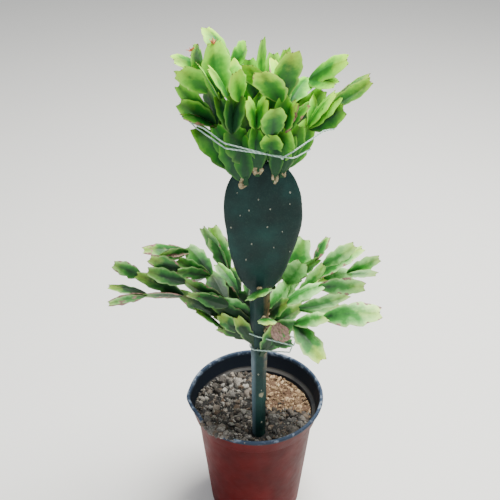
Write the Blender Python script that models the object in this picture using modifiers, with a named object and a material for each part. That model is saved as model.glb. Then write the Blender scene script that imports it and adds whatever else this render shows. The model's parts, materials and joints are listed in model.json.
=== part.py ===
"""A Christmas cactus grafted in two tiers on a prickly pear rootstock, in a nursery pot of soil.

Metres, +Z up. The origin is the middle of the pot's flat base, and the rootstock's flat pad faces -Y.
Each graft is a tree of flat, toothed stem segments. The segments that show most are laid out by hand in
scion_plan, and a seeded rule adds the ones behind them. A segment that would touch another piece is
turned a little until it is clear.
"""
import math
import random

import bmesh
import bpy
from mathutils import Matrix, Vector, noise
from mathutils.bvhtree import BVHTree
from mathutils.geometry import convex_hull_2d

MM = 0.001
OBJECT_NAME = "potted_christmas_cactus"
GAP = 0.3 * MM                      # air between pieces that touch on the real plant
MERGE = 0.002 * MM                  # corners of a joined piece this close become one

# Pot: one thin moulding, turned, with a shoulder under its flared collar
POT_HEIGHT = 172 * MM
POT_BASE_RADIUS = 57 * MM
POT_SHOULDER_Z = 148 * MM
POT_SHOULDER_RADIUS = 71 * MM
POT_COLLAR_RADIUS = 79.5 * MM
POT_RIM_RADIUS = 82.5 * MM
POT_WALL = 1.5 * MM
POT_FLOOR = 2.2 * MM
POT_STEPS = 44
DRAIN_HOLES = 6
DRAIN_RADIUS = 5 * MM
DRAIN_RING = 42 * MM

# Soil: fills the pot to below the shoulder, heaped against the rim at the front left
SOIL_TOP = 142 * MM
SOIL_RINGS = 8
SOIL_STEPS = 36
SOIL_HEAP = 18 * MM
SOIL_HEAP_AT = Vector((-46, -52)) * MM
SOIL_HEAP_SPREAD = 26 * MM
SOIL_CLODS = 3 * MM
SOIL_CLOD_SIZE = 14 * MM

# Rootstock: a ribbed upright stem, given as (height, radius), that ends in one flat pad
STEM_X = 3.5 * MM
STEM_Y = -42 * MM
STEM_STATIONS = ((75, 6.2), (132, 7.0), (160, 7.4), (290, 9.2), (320, 9.9), (345, 10.4),
                 (362, 10.0), (380, 8.4), (400, 5.0))
STEM_SIDES = 18
STEM_RIBS = 6
STEM_RIB_DEPTH = 0.05
PAD_X = 5 * MM
PAD_BOTTOM = 354 * MM
PAD_TOP = 506 * MM
PAD_HALF_WIDTH = 38.5 * MM
PAD_HALF_THICKNESS = 9.5 * MM
PAD_WIDEST = 1.35                   # above 1 moves the widest place towards the top
PAD_SQUARENESS = 0.30               # below 1 fills out the top and bottom
PAD_BLUNTNESS = 0.35                # below 1 keeps the margin thick

# Graft: each scion's root is a small wedge that stands in a slit in the rootstock
ROOT_WIDTH = 4.4 * MM
ROOT_THICKNESS = 1.9 * MM
ROOT_DEPTH = 5 * MM
ROOT_REACH = 4 * MM
ROOT_OVERLAP = 3 * MM

# Segment: a flat blade with a midrib, pairs of forward teeth and a notched end between two horns.
# Each row is the place along the edge, the place along the midrib, the share of the half width and
# the share of the midrib's height.
ROWS = (
    (0.00, 0.00, 0.20, 0.0),
    (0.14, 0.14, 0.56, 0.8),
    (0.38, 0.35, 0.94, 1.0),
    (0.43, 0.44, 0.80, 1.0),
    (0.66, 0.63, 1.00, 1.0),
    (0.72, 0.75, 0.78, 0.8),
    (1.00, 0.94, 0.42, 0.0),
)
RIB_HALF = 1.3 * MM                 # half the thickness at the midrib
JOINT_SINK = 4.5 * MM               # a segment starts this far inside the one below it
JOINT_SPREAD = 4.0 * MM             # how far the segments of one end stand apart
CUPPING = 0.10                      # edges drop by this share of the width
CURL = math.radians(20)             # the bend from a segment's root to its tip

# Growth: what is tried where a segment has no room
CLEAR = 0.7 * MM                    # a segment is this much fatter while it is tested
TRIES = 160
LEAST_TURN, MOST_TURN = 4, 55       # degrees
STRICT_SHARE = 0.6                  # the share of the tries in which it keeps clear of its own scion too
GROWTH_SEED = 11

# Crowns: for each tier, the ellipsoid's middle and radii that the segments added by rule stay in, how
# many are added, and the degrees above level at which they rise
CROWNS = {
    "upper": (Vector((0, -10, 545)) * MM, Vector((72, 60, 46)) * MM, 16, 35),
    "lower": (Vector((0, -15, 335)) * MM, Vector((85, 65, 40)) * MM, 12, 15),
}
CROWN_SPREAD = (35, 20, 35)         # degrees that their heading, rise and roll vary by
CROWN_LENGTHS = (34, 46)
CROWN_WIDTHS = (18, 23)
CROWN_TRIES = 60
MOST_BRANCHES = 3
BEHIND_Y = -34 * MM                 # segments added by rule end behind this plane

# Ties: thin string wound round each tier, each as (place along X, height) stations. The lower ones are
# drawn round the stem and round posts, which are places (x, y) the string is led out to.
TIE_RADIUS = 0.7 * MM
TIE_CORNER_STEP = math.radians(35)
UPPER_TIES = {
    "upper_tie_1": ((-61, 536.5), (23, 518.3), (37, 515.0)),
    "upper_tie_2": ((-50, 541.0), (10, 521.8), (23, 518.3), (61, 540.6)),
}
LOWER_TIES = {
    "lower_tie_1": (((-14, 304.0), (7, 301.7), (38, 298.4)), ((-14, -43.5), (39, -62), (42, -51))),
    "lower_tie_2": (((-7, 281.5), (34, 289.0)), ((35, -62), (38, -52))),
}
KNOT_RADIUS = 1.6 * MM
KNOT_X = 23 * MM


def seg(heading, rise, roll, length, width, *branches):
    """A segment: degrees round +Z from +X, degrees above level, degrees of roll, and millimetres."""
    return {"aim": (heading, rise, roll), "size": (length * MM, width * MM), "branches": branches}


def scion_plan():
    """Each scion's name, its place on the rootstock, and the segments that grow from it."""
    return {
        "upper_scion_1": (pad_point(180, 0.93), seg(160, 45, -20, 58, 28)),
        "upper_scion_2": (pad_point(180, 0.966), seg(
            135, 40, 0, 54, 26,
            seg(-175, 35, 70, 42, 26),
            seg(-150, 25, -10, 38, 21),
            seg(-135, 75, 0, 42, 22,
                seg(-150, 45, 55, 40, 26),
                seg(140, 10, 75, 42, 21),
                seg(100, 25, -55, 38, 22,
                    seg(-135, 25, -30, 40, 23),
                    seg(-105, 40, 85, 42, 23))))),
        "upper_scion_3": (pad_point(180, 0.993), seg(
            -140, 60, -85, 48, 30,
            seg(-100, 80, 65, 42, 21,
                seg(-165, 60, -15, 38, 23),
                seg(95, 35, -40, 42, 26,
                    seg(125, 35, 10, 46, 23),
                    seg(65, 10, 85, 38, 23))),
            seg(-25, 75, 55, 40, 21,
                seg(-115, 75, 70, 32, 23)),
            seg(-170, 70, -40, 42, 21,
                seg(110, 45, -50, 54, 30),
                seg(-155, 75, 30, 42, 21)))),
        "upper_scion_4": (pad_point(90, 1), seg(
            -125, 75, 80, 46, 26,
            seg(-135, 65, -70, 34, 21),
            seg(85, 30, -45, 48, 23,
                seg(-95, 85, 70, 52, 23),
                seg(-130, 55, 15, 38, 26)),
            seg(-40, 70, 65, 34, 21))),
        "upper_scion_5": (pad_point(0, 0.993), seg(
            -65, 70, -60, 46, 30,
            seg(-105, 75, 50, 40, 22,
                seg(-55, 75, -10, 52, 28),
                seg(-140, 55, 30, 42, 30),
                seg(85, 55, -55, 48, 26),
                seg(105, 40, 40, 44, 23)),
            seg(-25, 70, 45, 34, 19),
            seg(-15, 55, 20, 38, 20),
            seg(80, 20, 55, 44, 22,
                seg(60, 20, -5, 42, 26,
                    seg(-30, 35, 40, 50, 26),
                    seg(-50, 10, 25, 38, 21))))),
        "upper_scion_6": (pad_point(0, 0.955), seg(
            35, 58, 68, 50, 26,
            seg(-20, 35, 60, 42, 24),
            seg(-10, 50, 30, 46, 23,
                seg(25, 30, -70, 40, 23)),
            seg(0, 55, 5, 44, 23),
            seg(70, 40, 75, 36, 21))),
        "upper_scion_7": (pad_point(0, 0.999), seg(
            -95, 75, 5, 42, 22,
            seg(-105, 80, 20, 44, 24))),
        "upper_scion_8": (pad_point(115, 0.93), seg(115, 45, 0, 46, 26)),
        "upper_scion_9": (pad_point(60, 0.92), seg(60, 45, 0, 46, 26)),
        "lower_scion_1": (stem_point(150, 319), seg(
            -175, 35, 85, 40, 21,
            seg(120, 25, 0, 42, 23,
                seg(145, 40, -20, 42, 25,
                    seg(-165, 12, -5, 52, 26),
                    seg(-145, 10, 70, 40, 23)),
                seg(-155, 25, 65, 42, 23,
                    seg(-175, 30, 80, 38, 23))),
            seg(-172, 20, 60, 44, 22))),
        "lower_scion_2": (stem_point(165, 309), seg(
            170, 15, 90, 42, 19,
            seg(165, 25, -80, 52, 22,
                seg(175, 26, 80, 58, 25,
                    seg(175, 25, 85, 34, 23)),
                seg(-175, 5, 55, 46, 21,
                    seg(-165, -5, 65, 44, 23),
                    seg(-180, 15, 5, 44, 19))))),
        "lower_scion_3": (stem_point(120, 324), seg(
            125, 0, -70, 36, 21,
            seg(115, 20, -40, 40, 23,
                seg(125, 55, -50, 56, 25),
                seg(138, 48, 90, 60, 24)))),
        "lower_scion_4": (stem_point(185, 290), seg(
            165, 31, 80, 40, 21,
            seg(175, 45, -10, 44, 22))),
        "lower_scion_5": (stem_point(-92, 364), seg(-95, 15, 25, 24, 30)),
        "lower_scion_6": (stem_point(-65, 326), seg(-75, 20, -5, 24, 21)),
        "lower_scion_7": (stem_point(40, 328), seg(
            55, 10, 70, 46, 23,
            seg(0, 60, 85, 34, 28),
            seg(50, 55, 30, 56, 30),
            seg(20, 35, -80, 48, 21,
                seg(50, 40, -25, 32, 19)))),
        "lower_scion_8": (stem_point(20, 315), seg(
            40, 5, 20, 46, 22,
            seg(30, 40, -10, 42, 21,
                seg(15, 30, 0, 64, 24)),
            seg(20, 35, 10, 44, 22,
                seg(25, 0, 25, 40, 24,
                    seg(15, 20, -85, 42, 22),
                    seg(15, -10, -60, 38, 21))))),
        "lower_scion_9": (stem_point(-5, 324), seg(
            -45, 45, 45, 38, 23,
            seg(0, 30, 5, 48, 24,
                seg(0, 0, -85, 50, 25)))),
        "lower_scion_10": (stem_point(-15, 314), seg(
            15, 25, 90, 42, 22,
            seg(0, 10, -85, 46, 23),
            seg(35, -20, 0, 36, 19))),
        "lower_scion_11": (stem_point(-25, 304), seg(
            -25, 35, -70, 42, 22,
            seg(-10, 20, 10, 40, 22,
                seg(-5, 10, 25, 62, 30)),
            seg(-50, -28, 5, 50, 28))),
        "lower_scion_12": (stem_point(-45, 292), seg(-18, -5, 90, 31, 23)),
        "lower_scion_13": (stem_point(-45, 308), seg(-40, 20, 85, 34, 24)),
        "lower_scion_14": (stem_point(95, 335), seg(95, 35, 0, 42, 23)),
        "lower_scion_15": (stem_point(75, 317), seg(75, 20, 0, 42, 23)),
        "lower_scion_16": (stem_point(110, 310), seg(110, 15, 0, 42, 23)),
        "lower_scion_17": (stem_point(50, 308), seg(50, 15, 0, 42, 23)),
    }


def new_collection(name):
    collection = bpy.data.collections.new(name)
    bpy.context.scene.collection.children.link(collection)
    return collection


def new_object(name, bm, collection):
    """An object with the bmesh's geometry, which is then freed."""
    mesh = bpy.data.meshes.new(name)
    bm.to_mesh(mesh)
    bm.free()
    obj = bpy.data.objects.new(name, mesh)
    collection.objects.link(obj)
    return obj


def material(name, colour, roughness):
    """A plain material; colour is linear red, green and blue."""
    made = bpy.data.materials.new(name)
    made.use_nodes = True
    shader = made.node_tree.nodes["Principled BSDF"]
    shader.inputs["Base Color"].default_value = (*colour, 1)
    shader.inputs["Roughness"].default_value = roughness
    shader.inputs["Metallic"].default_value = 0
    made.diffuse_color = (*colour, 1)
    return made


def dress(obj, surface, smooth=True):
    """Gives the object its material and its shading."""
    obj.data.materials.clear()
    obj.data.materials.append(surface)
    if smooth:
        obj.data.shade_smooth()
        obj.data.set_sharp_from_angle(angle=math.radians(35))


def apply_modifiers(obj):
    """Replaces the object's mesh by its evaluated one and drops the modifiers."""
    evaluated = obj.evaluated_get(bpy.context.evaluated_depsgraph_get())
    mesh = bpy.data.meshes.new_from_object(evaluated)
    obj.modifiers.clear()
    obj.data = mesh


def combine(obj, others, operation):
    """One Boolean of obj with a collection of closed meshes, which are then removed."""
    group = new_collection(obj.name + "_" + operation.lower())
    for other in others:
        for owner in list(other.users_collection):
            owner.objects.unlink(other)
        group.objects.link(other)
    boolean = obj.modifiers.new(operation.lower(), "BOOLEAN")
    boolean.operation = operation
    boolean.operand_type = "COLLECTION"
    boolean.collection = group
    boolean.solver = "EXACT"
    apply_modifiers(obj)
    for other in others:
        bpy.data.objects.remove(other)
    bpy.data.collections.remove(group)


def without_scraps(obj):
    """Merges corners closer than MERGE and keeps only the object's largest body."""
    bm = bmesh.new()
    bm.from_mesh(obj.data)
    bmesh.ops.remove_doubles(bm, verts=bm.verts[:], dist=MERGE)
    bodies, seen = [], set()
    for face in bm.faces:
        if face in seen:
            continue
        seen.add(face)
        body = [face]
        for member in body:
            for neighbour in (other for edge in member.edges for other in edge.link_faces):
                if neighbour not in seen:
                    seen.add(neighbour)
                    body.append(neighbour)
        bodies.append(body)
    largest = max(bodies, key=len)
    for body in bodies:
        if body is not largest:
            bmesh.ops.delete(bm, geom=body, context="FACES")
    bm.to_mesh(obj.data)
    bm.free()


def turned(name, profile, steps, collection):
    """A closed solid turned round Z from (radius, z) points that start and end on the axis."""
    mesh = bpy.data.meshes.new(name)
    points = [(radius, 0, z) for radius, z in profile]
    mesh.from_pydata(points, [(i, i + 1) for i in range(len(points) - 1)], [])
    obj = bpy.data.objects.new(name, mesh)
    collection.objects.link(obj)
    screw = obj.modifiers.new("turn", "SCREW")
    screw.steps = screw.render_steps = steps
    screw.use_merge_vertices = True
    screw.merge_threshold = 0.00005
    return obj


def wall_radius(z):
    """The pot's outer radius at a height, up to its shoulder."""
    return POT_BASE_RADIUS + (POT_SHOULDER_RADIUS - POT_BASE_RADIUS) * z / POT_SHOULDER_Z


def make_pot(collection):
    inner_collar = POT_COLLAR_RADIUS - POT_WALL
    ledge = POT_SHOULDER_RADIUS + 2.5 * MM
    profile = [
        (0, POT_FLOOR),
        (wall_radius(POT_FLOOR) - POT_WALL, POT_FLOOR),
        (wall_radius(POT_SHOULDER_Z) - POT_WALL, POT_SHOULDER_Z),
        (ledge, POT_SHOULDER_Z + 1.5 * MM),
        (inner_collar, POT_HEIGHT - 3 * MM),
        (inner_collar + 0.8 * MM, POT_HEIGHT - 0.6 * MM),
        (inner_collar + 2 * MM, POT_HEIGHT),
        (POT_RIM_RADIUS - 0.8 * MM, POT_HEIGHT - 0.4 * MM),
        (POT_RIM_RADIUS, POT_HEIGHT - 2 * MM),
        (POT_RIM_RADIUS - 0.6 * MM, POT_HEIGHT - 4.5 * MM),
        (POT_COLLAR_RADIUS + 0.6 * MM, POT_HEIGHT - 5.5 * MM),
        (ledge + POT_WALL, POT_SHOULDER_Z + 0.5 * MM),
        (ledge, POT_SHOULDER_Z - 1 * MM),
        (POT_SHOULDER_RADIUS, POT_SHOULDER_Z - 1.6 * MM),
        (wall_radius(2 * MM), 2 * MM),
        (POT_BASE_RADIUS - 1.2 * MM, 0),
        (0, 0),
    ]
    pot = turned("pot", profile, POT_STEPS, collection)
    holes = []
    for index in range(DRAIN_HOLES):
        angle = math.tau * (index + 0.5) / DRAIN_HOLES
        place = Matrix.Translation((DRAIN_RING * math.cos(angle), DRAIN_RING * math.sin(angle), 0))
        bm = bmesh.new()
        bmesh.ops.create_cone(bm, cap_ends=True, segments=12, radius1=DRAIN_RADIUS, radius2=DRAIN_RADIUS,
                              depth=4 * POT_FLOOR, matrix=place)
        holes.append(new_object("drain", bm, collection))
    combine(pot, holes, "DIFFERENCE")
    dress(pot, material("pot_plastic", (0.11, 0.022, 0.022), 0.45))


def soil_rise(x, y):
    """How far the soil stands above SOIL_TOP: rough clods, and a heap at the front left."""
    away = (Vector((x, y)) - SOIL_HEAP_AT).length / SOIL_HEAP_SPREAD
    clods = noise.noise(Vector((x, y, 0)) / SOIL_CLOD_SIZE) * SOIL_CLODS
    return SOIL_HEAP * math.exp(-away * away) + clods


def make_soil(collection):
    edge = wall_radius(SOIL_TOP) - POT_WALL - GAP
    floor_z = POT_FLOOR + GAP
    profile = [(edge * index / SOIL_RINGS, SOIL_TOP) for index in range(SOIL_RINGS + 1)]
    profile += [(wall_radius(floor_z) - POT_WALL - GAP, floor_z), (0, floor_z)]
    soil = turned("soil", profile, SOIL_STEPS, collection)
    apply_modifiers(soil)
    for vert in soil.data.vertices:
        if vert.co.z > SOIL_TOP - GAP:
            rise = soil_rise(vert.co.x, vert.co.y)
            vert.co.z += max(rise, 0) if vert.co.xy.length > 0.9 * edge else rise
    bottom, top = STEM_STATIONS[0][0] * MM - GAP, SOIL_TOP + 40 * MM
    hole = stem_radius(top) * (1 + STEM_RIB_DEPTH) + 2 * GAP
    bm = bmesh.new()
    bmesh.ops.create_cone(bm, cap_ends=True, segments=STEM_SIDES, radius1=hole, radius2=hole,
                          depth=top - bottom, matrix=Matrix.Translation((STEM_X, STEM_Y, (bottom + top) / 2)))
    combine(soil, [new_object("stem_hole", bm, collection)], "DIFFERENCE")
    dress(soil, material("soil_grit", (0.12, 0.09, 0.065), 0.9), smooth=False)


def between(stations, place):
    """The value at a place along (place, value) stations, held level beyond both ends."""
    if place <= stations[0][0]:
        return stations[0][1]
    for (start, first), (end, second) in zip(stations, stations[1:]):
        if place <= end:
            return first + (second - first) * (place - start) / (end - start)
    return stations[-1][1]


def stem_radius(z):
    """The stem's mean radius at a height, from its stations."""
    return between(STEM_STATIONS, z / MM) * MM


def stem_point(turn, height):
    """A point on the stem, turn degrees round it from +X, at a height in millimetres."""
    angle = math.radians(turn)
    radius = stem_radius(height * MM)
    return Vector((STEM_X + radius * math.cos(angle), STEM_Y + radius * math.sin(angle), height * MM))


def pad_point(turn, share):
    """A point on the pad, turn degrees round its long axis from +X, at a share of its height."""
    angle = math.radians(turn)
    half_width = PAD_HALF_WIDTH * max(math.sin(math.pi * share ** PAD_WIDEST), 0) ** PAD_SQUARENESS
    half_thickness = PAD_HALF_THICKNESS * max(math.sin(math.pi * share), 0) ** PAD_BLUNTNESS
    middle = STEM_X + (PAD_X - STEM_X) * min(2 * share, 1)
    return Vector((middle + half_width * math.cos(angle), STEM_Y + half_thickness * math.sin(angle),
                   PAD_BOTTOM + (PAD_TOP - PAD_BOTTOM) * share))


def make_stem(collection):
    """The upright stem: a cylinder whose rings are moved out to the stations, in low ribs."""
    bm = bmesh.new()
    bmesh.ops.create_cone(bm, cap_ends=True, segments=STEM_SIDES, radius1=1, radius2=1, depth=1)
    upright = [edge for edge in bm.edges if abs(edge.verts[0].co.z - edge.verts[1].co.z) > 0.5]
    last = len(STEM_STATIONS) - 1
    bmesh.ops.subdivide_edges(bm, edges=upright, cuts=last - 1)
    for vert in bm.verts:
        height, radius = STEM_STATIONS[round((vert.co.z + 0.5) * last)]
        angle = math.atan2(vert.co.y, vert.co.x)
        out = radius * MM * (1 + STEM_RIB_DEPTH * math.cos(STEM_RIBS * angle))
        vert.co = (STEM_X + out * math.cos(angle), STEM_Y + out * math.sin(angle), height * MM)
    return new_object("rootstock", bm, collection)


def make_pad(collection):
    """The flat pad: a sphere whose rings are moved out to the pad's outline."""
    bm = bmesh.new()
    bmesh.ops.create_uvsphere(bm, u_segments=18, v_segments=14, radius=1)
    for vert in bm.verts:
        vert.co = pad_point(math.degrees(math.atan2(vert.co.y, vert.co.x)), (vert.co.z + 1) / 2)
    return new_object("pad", bm, collection)


def tie_height(stations, x):
    return between(stations, x / MM) * MM


def stem_ring(stations):
    """Places (x, y) round the stem, outside its ribs, at the height where a tie passes it."""
    height = tie_height(stations, STEM_X)
    reach = stem_radius(height) * (1 + STEM_RIB_DEPTH)
    turns = (math.tau * index / STEM_SIDES for index in range(STEM_SIDES))
    return [Vector((STEM_X + reach * math.cos(turn), STEM_Y + reach * math.sin(turn))) for turn in turns]


def directions(heading, rise, roll):
    """Unit vectors along, across and out of a blade."""
    heading, rise, roll = (math.radians(angle) for angle in (heading, rise, roll))
    along = Vector((math.cos(rise) * math.cos(heading), math.cos(rise) * math.sin(heading), math.sin(rise)))
    level = Vector((-math.sin(heading), math.cos(heading), 0))
    above = along.cross(level)
    across = level * math.cos(roll) + above * math.sin(roll)
    return along, across, above * math.cos(roll) - level * math.sin(roll)


class Blade:
    """One flat segment: its scion, the blade it grows from, its start, its aim and its size."""

    def __init__(self, scion, parent, start, aim, size):
        self.scion = scion
        self.parent = parent
        self.start = start
        self.aim = aim
        self.length, self.width = size
        self.along, self.across, self.out = directions(*aim)
        self.branches = 0

    def place(self, side, share, lift=0.0):
        """The point side metres off the midrib, at a share of the length, lift metres off the blade."""
        bend = CURL * (share - 0.5)
        forward = self.length * (math.sin(bend) + math.sin(CURL / 2)) / CURL + math.sin(bend) * lift
        bulge = self.length * (math.cos(bend) - math.cos(CURL / 2)) / CURL
        cup = CUPPING * abs(side) * min(share * 4, 1)
        return self.start + self.along * forward + self.across * side + self.out * (bulge - cup + lift)

    def corner(self, side, row, face, fatter=0.0):
        """The corner in column side (-1, 0, 1) and row, on face (1 upper, -1 lower, 0 on the border)."""
        edge, rib, share, height = ROWS[row]
        extra = fatter if row else 0
        half = share * self.width / 2 + extra
        return self.place(side * half, edge if side else rib, face * (RIB_HALF * height + extra))

    def tip(self):
        return self.place(0, 1)

    def shoot(self, aim):
        """Where a segment with this aim starts, near the end of this one."""
        along = directions(*aim)[0]
        return self.place(JOINT_SPREAD * along.dot(self.across), ROWS[-1][1] - JOINT_SINK / self.length)


def blade_template():
    """A closed lens of two like faces: each vertex holds its column, its row and its face.

    Each cell is split from its outer corner inwards, so that no triangle has only border corners.
    """
    bm = bmesh.new()
    last = len(ROWS) - 1
    bmesh.ops.create_grid(bm, x_segments=2, y_segments=last, size=1)
    for face in bm.faces[:]:
        by_reach = sorted(face.verts, key=lambda vert: 2 * abs(vert.co.x) + abs(vert.co.y))
        bmesh.ops.connect_verts(bm, verts=[by_reach[0], by_reach[-1]])
    lower = bm.verts[:]
    copied = bmesh.ops.duplicate(bm, geom=bm.faces[:])["geom"]
    upper = [item for item in copied if isinstance(item, bmesh.types.BMVert)]
    bmesh.ops.reverse_faces(bm, faces=[item for item in copied if isinstance(item, bmesh.types.BMFace)])
    for face, verts in ((1, upper), (-1, lower)):
        for vert in verts:
            inside = abs(vert.co.x) < 0.5 and abs(vert.co.y) < 0.99
            vert.co = (round(vert.co.x), round((vert.co.y + 1) / 2 * last), face if inside else 0)
    bmesh.ops.remove_doubles(bm, verts=bm.verts[:], dist=0.01)
    return bm


def shaped(template, blade, fatter=0.0):
    """A copy of the template moved to a blade's corners."""
    bm = template.copy()
    for vert in bm.verts:
        side, row, face = (round(value) for value in vert.co)
        vert.co = blade.corner(side, row, face, fatter)
    return bm


class Growth:
    """The blades so far, and what each new one has to stay clear of."""

    def __init__(self, obstacles):
        self.template = blade_template()
        self.chance = random.Random(GROWTH_SEED)
        self.obstacles = obstacles
        self.blades = []
        self.trees = []

    def clear(self, blade, own_too):
        """True where a slightly fatter blade touches no obstacle and no blade but its nearest kin."""
        bm = shaped(self.template, blade, CLEAR)
        tree = BVHTree.FromBMesh(bm)
        bm.free()
        if any(tree.overlap(obstacle) for obstacle in self.obstacles):
            return False
        for other, other_tree in zip(self.blades, self.trees):
            kin = other is blade.parent or (other.parent is blade.parent and blade.parent is not None)
            own = other.scion == blade.scion
            if kin or (own and not own_too):
                continue
            if tree.overlap(other_tree):
                return False
        return True

    def turned_aim(self, aim, spread):
        heading, rise, roll = aim
        return (heading + self.chance.uniform(-spread, spread), rise + self.chance.uniform(-spread, spread),
                roll + 1.5 * self.chance.uniform(-spread, spread))

    def settle(self, scion, parent, seat, aim, size, tries):
        """Adds a blade at the aim, or at the first clear aim near it; returns None where there is none."""
        for attempt in range(tries):
            spread = LEAST_TURN + (MOST_TURN - LEAST_TURN) * attempt / TRIES if attempt else 0
            turned_aim = self.turned_aim(aim, spread)
            if parent:
                start = parent.shoot(turned_aim)
            else:
                start = seat + directions(*turned_aim)[0] * (ROOT_REACH - ROOT_OVERLAP)
            blade = Blade(scion, parent, start, turned_aim, size)
            if self.clear(blade, own_too=attempt < STRICT_SHARE * TRIES):
                self.add(blade)
                return blade
        return None

    def add(self, blade):
        bm = shaped(self.template, blade)
        self.trees.append(BVHTree.FromBMesh(bm))
        bm.free()
        self.blades.append(blade)
        if blade.parent:
            blade.parent.branches += 1

    def grow_plan(self, plan):
        """Grows the scions laid out by hand, nearest segments first."""
        waiting = [(scion, None, seat, segment) for scion, (seat, segment) in plan.items()]
        while waiting:
            scion, parent, seat, segment = waiting.pop(0)
            blade = self.settle(scion, parent, seat, segment["aim"], segment["size"], TRIES)
            if blade:
                waiting += [(scion, blade, None, branch) for branch in segment["branches"]]

    def grow_more(self, tier, middle, radii, count, rise):
        """Adds segments by rule: outwards from the stem, inside the crown, behind the front ones."""
        added = 0
        for _ in range(CROWN_TRIES * count):
            parent = self.chance.choice([blade for blade in self.blades if blade.scion.startswith(tier)
                                         and blade.branches < MOST_BRANCHES])
            tip = parent.tip()
            outwards = math.degrees(math.atan2(tip.y - STEM_Y, tip.x - STEM_X))
            aim = [self.chance.gauss(middle_aim, spread)
                   for middle_aim, spread in zip((outwards, rise, 0), CROWN_SPREAD)]
            size = (self.chance.uniform(*CROWN_LENGTHS) * MM, self.chance.uniform(*CROWN_WIDTHS) * MM)
            end = parent.shoot(aim) + directions(*aim)[0] * size[0]
            away = Vector((end[i] - middle[i]) / radii[i] for i in range(3))
            if end.y < BEHIND_Y or away.length > 1:
                continue
            if self.settle(parent.scion, parent, None, aim, size, 1):
                added += 1
            if added == count:
                break


def root_block(name, seat, aim, bigger, collection):
    """A scion's root wedge, or with bigger the slit round it, which also runs on outwards."""
    along, across, out = directions(*aim)
    depth = ROOT_DEPTH + bigger
    reach = ROOT_REACH * (2 if bigger else 1)
    size = Matrix.Diagonal((depth + reach, ROOT_WIDTH + 2 * bigger, ROOT_THICKNESS + 2 * bigger, 1))
    turn = Matrix((along, across, out)).transposed().to_4x4()
    place = Matrix.Translation(seat + along * (reach - depth) / 2)
    bm = bmesh.new()
    bmesh.ops.create_cube(bm, size=1, matrix=place @ turn @ size)
    return new_object(name, bm, collection)


def make_scions(growth, plan, rootstock, collection):
    """Joins each scion's root and blades in one piece, and cuts its slit in the rootstock."""
    leaf = {
        "upper": material("upper_segment", (0.10, 0.26, 0.03), 0.35),
        "lower": material("lower_segment", (0.12, 0.25, 0.08), 0.35),
    }
    pieces, slits = [], []
    for scion, (seat, _) in plan.items():
        own = [blade for blade in growth.blades if blade.scion == scion]
        if not own:
            continue
        aim = own[0].aim
        piece = root_block(scion, seat, aim, 0, collection)
        blades = [new_object("blade", shaped(growth.template, blade), collection) for blade in own]
        combine(piece, blades, "UNION")
        without_scraps(piece)
        dress(piece, leaf[scion.split("_")[0]])
        pieces.append(piece)
        slits.append(root_block("slit", seat, aim, GAP, collection))
    combine(rootstock, slits, "DIFFERENCE")
    dress(rootstock, material("rootstock_skin", (0.012, 0.035, 0.03), 0.5))
    return pieces


def crossing_points(objects, stations):
    """Where the objects' edges pass through the layer that a tie with these stations lies in."""
    found = []
    for obj in objects:
        heights = [vert.co.z - tie_height(stations, vert.co.x) for vert in obj.data.vertices]
        for edge in obj.data.edges:
            first, second = edge.vertices
            start, end = obj.data.vertices[first].co, obj.data.vertices[second].co
            for level in (-TIE_RADIUS - GAP, 0, TIE_RADIUS + GAP):
                below, above = heights[first] - level, heights[second] - level
                if below * above < 0:
                    found.append(start.lerp(end, below / (below - above)).xy)
    return found


def tie_path(places, stations, away):
    """The closed line round the places, away metres clear of them, at the stations' heights."""
    hull = [places[index] for index in convex_hull_2d(places)]
    flat = []
    for index, corner in enumerate(hull):
        before = corner - hull[index - 1]
        after = hull[(index + 1) % len(hull)] - corner
        start = math.atan2(-before.x, before.y)
        sweep = (math.atan2(-after.x, after.y) - start) % math.tau
        steps = int(sweep / TIE_CORNER_STEP)
        angles = [start + sweep * step / steps for step in range(steps + 1)] if steps else [start + sweep / 2]
        reach = away if steps else away / math.cos(sweep / 2)
        flat += [corner + reach * Vector((math.cos(angle), math.sin(angle))) for angle in angles]
    path = []
    for spot, following in zip(flat, flat[1:] + flat[:1]):
        cuts = [(x * MM - spot.x) / (following.x - spot.x) for x, _ in stations if following.x != spot.x]
        for share in [0] + sorted(cut for cut in cuts if 0.02 < cut < 0.98):
            place = spot.lerp(following, share)
            path.append(Vector((*place, tie_height(stations, place.x))))
    return path


def make_tie(name, places, stations, surface, collection, knotted=False):
    """A closed ring of string round the places, with a small knot at KNOT_X where it is knotted."""
    path = tie_path(places, stations, TIE_RADIUS + GAP)
    curve = bpy.data.curves.new(name, "CURVE")
    curve.dimensions = "3D"
    curve.bevel_depth = TIE_RADIUS
    curve.bevel_resolution = 1
    spline = curve.splines.new("POLY")
    spline.points.add(len(path) - 1)
    for spline_point, place in zip(spline.points, path):
        spline_point.co = (*place, 1)
    spline.use_cyclic_u = True
    line = bpy.data.objects.new(name + "_line", curve)
    collection.objects.link(line)
    evaluated = line.evaluated_get(bpy.context.evaluated_depsgraph_get())
    tie = bpy.data.objects.new(name, bpy.data.meshes.new_from_object(evaluated))
    collection.objects.link(tie)
    bpy.data.objects.remove(line)
    if knotted:
        front = min((place for place in path if abs(place.x - KNOT_X) < 0.1 * MM), key=lambda place: place.y)
        bm = bmesh.new()
        bmesh.ops.create_icosphere(bm, subdivisions=1, radius=KNOT_RADIUS,
                                   matrix=Matrix.Translation(front - Vector((0, MM, 0))))
        combine(tie, [new_object("knot", bm, collection)], "UNION")
    dress(tie, surface)
    return tie


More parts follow.
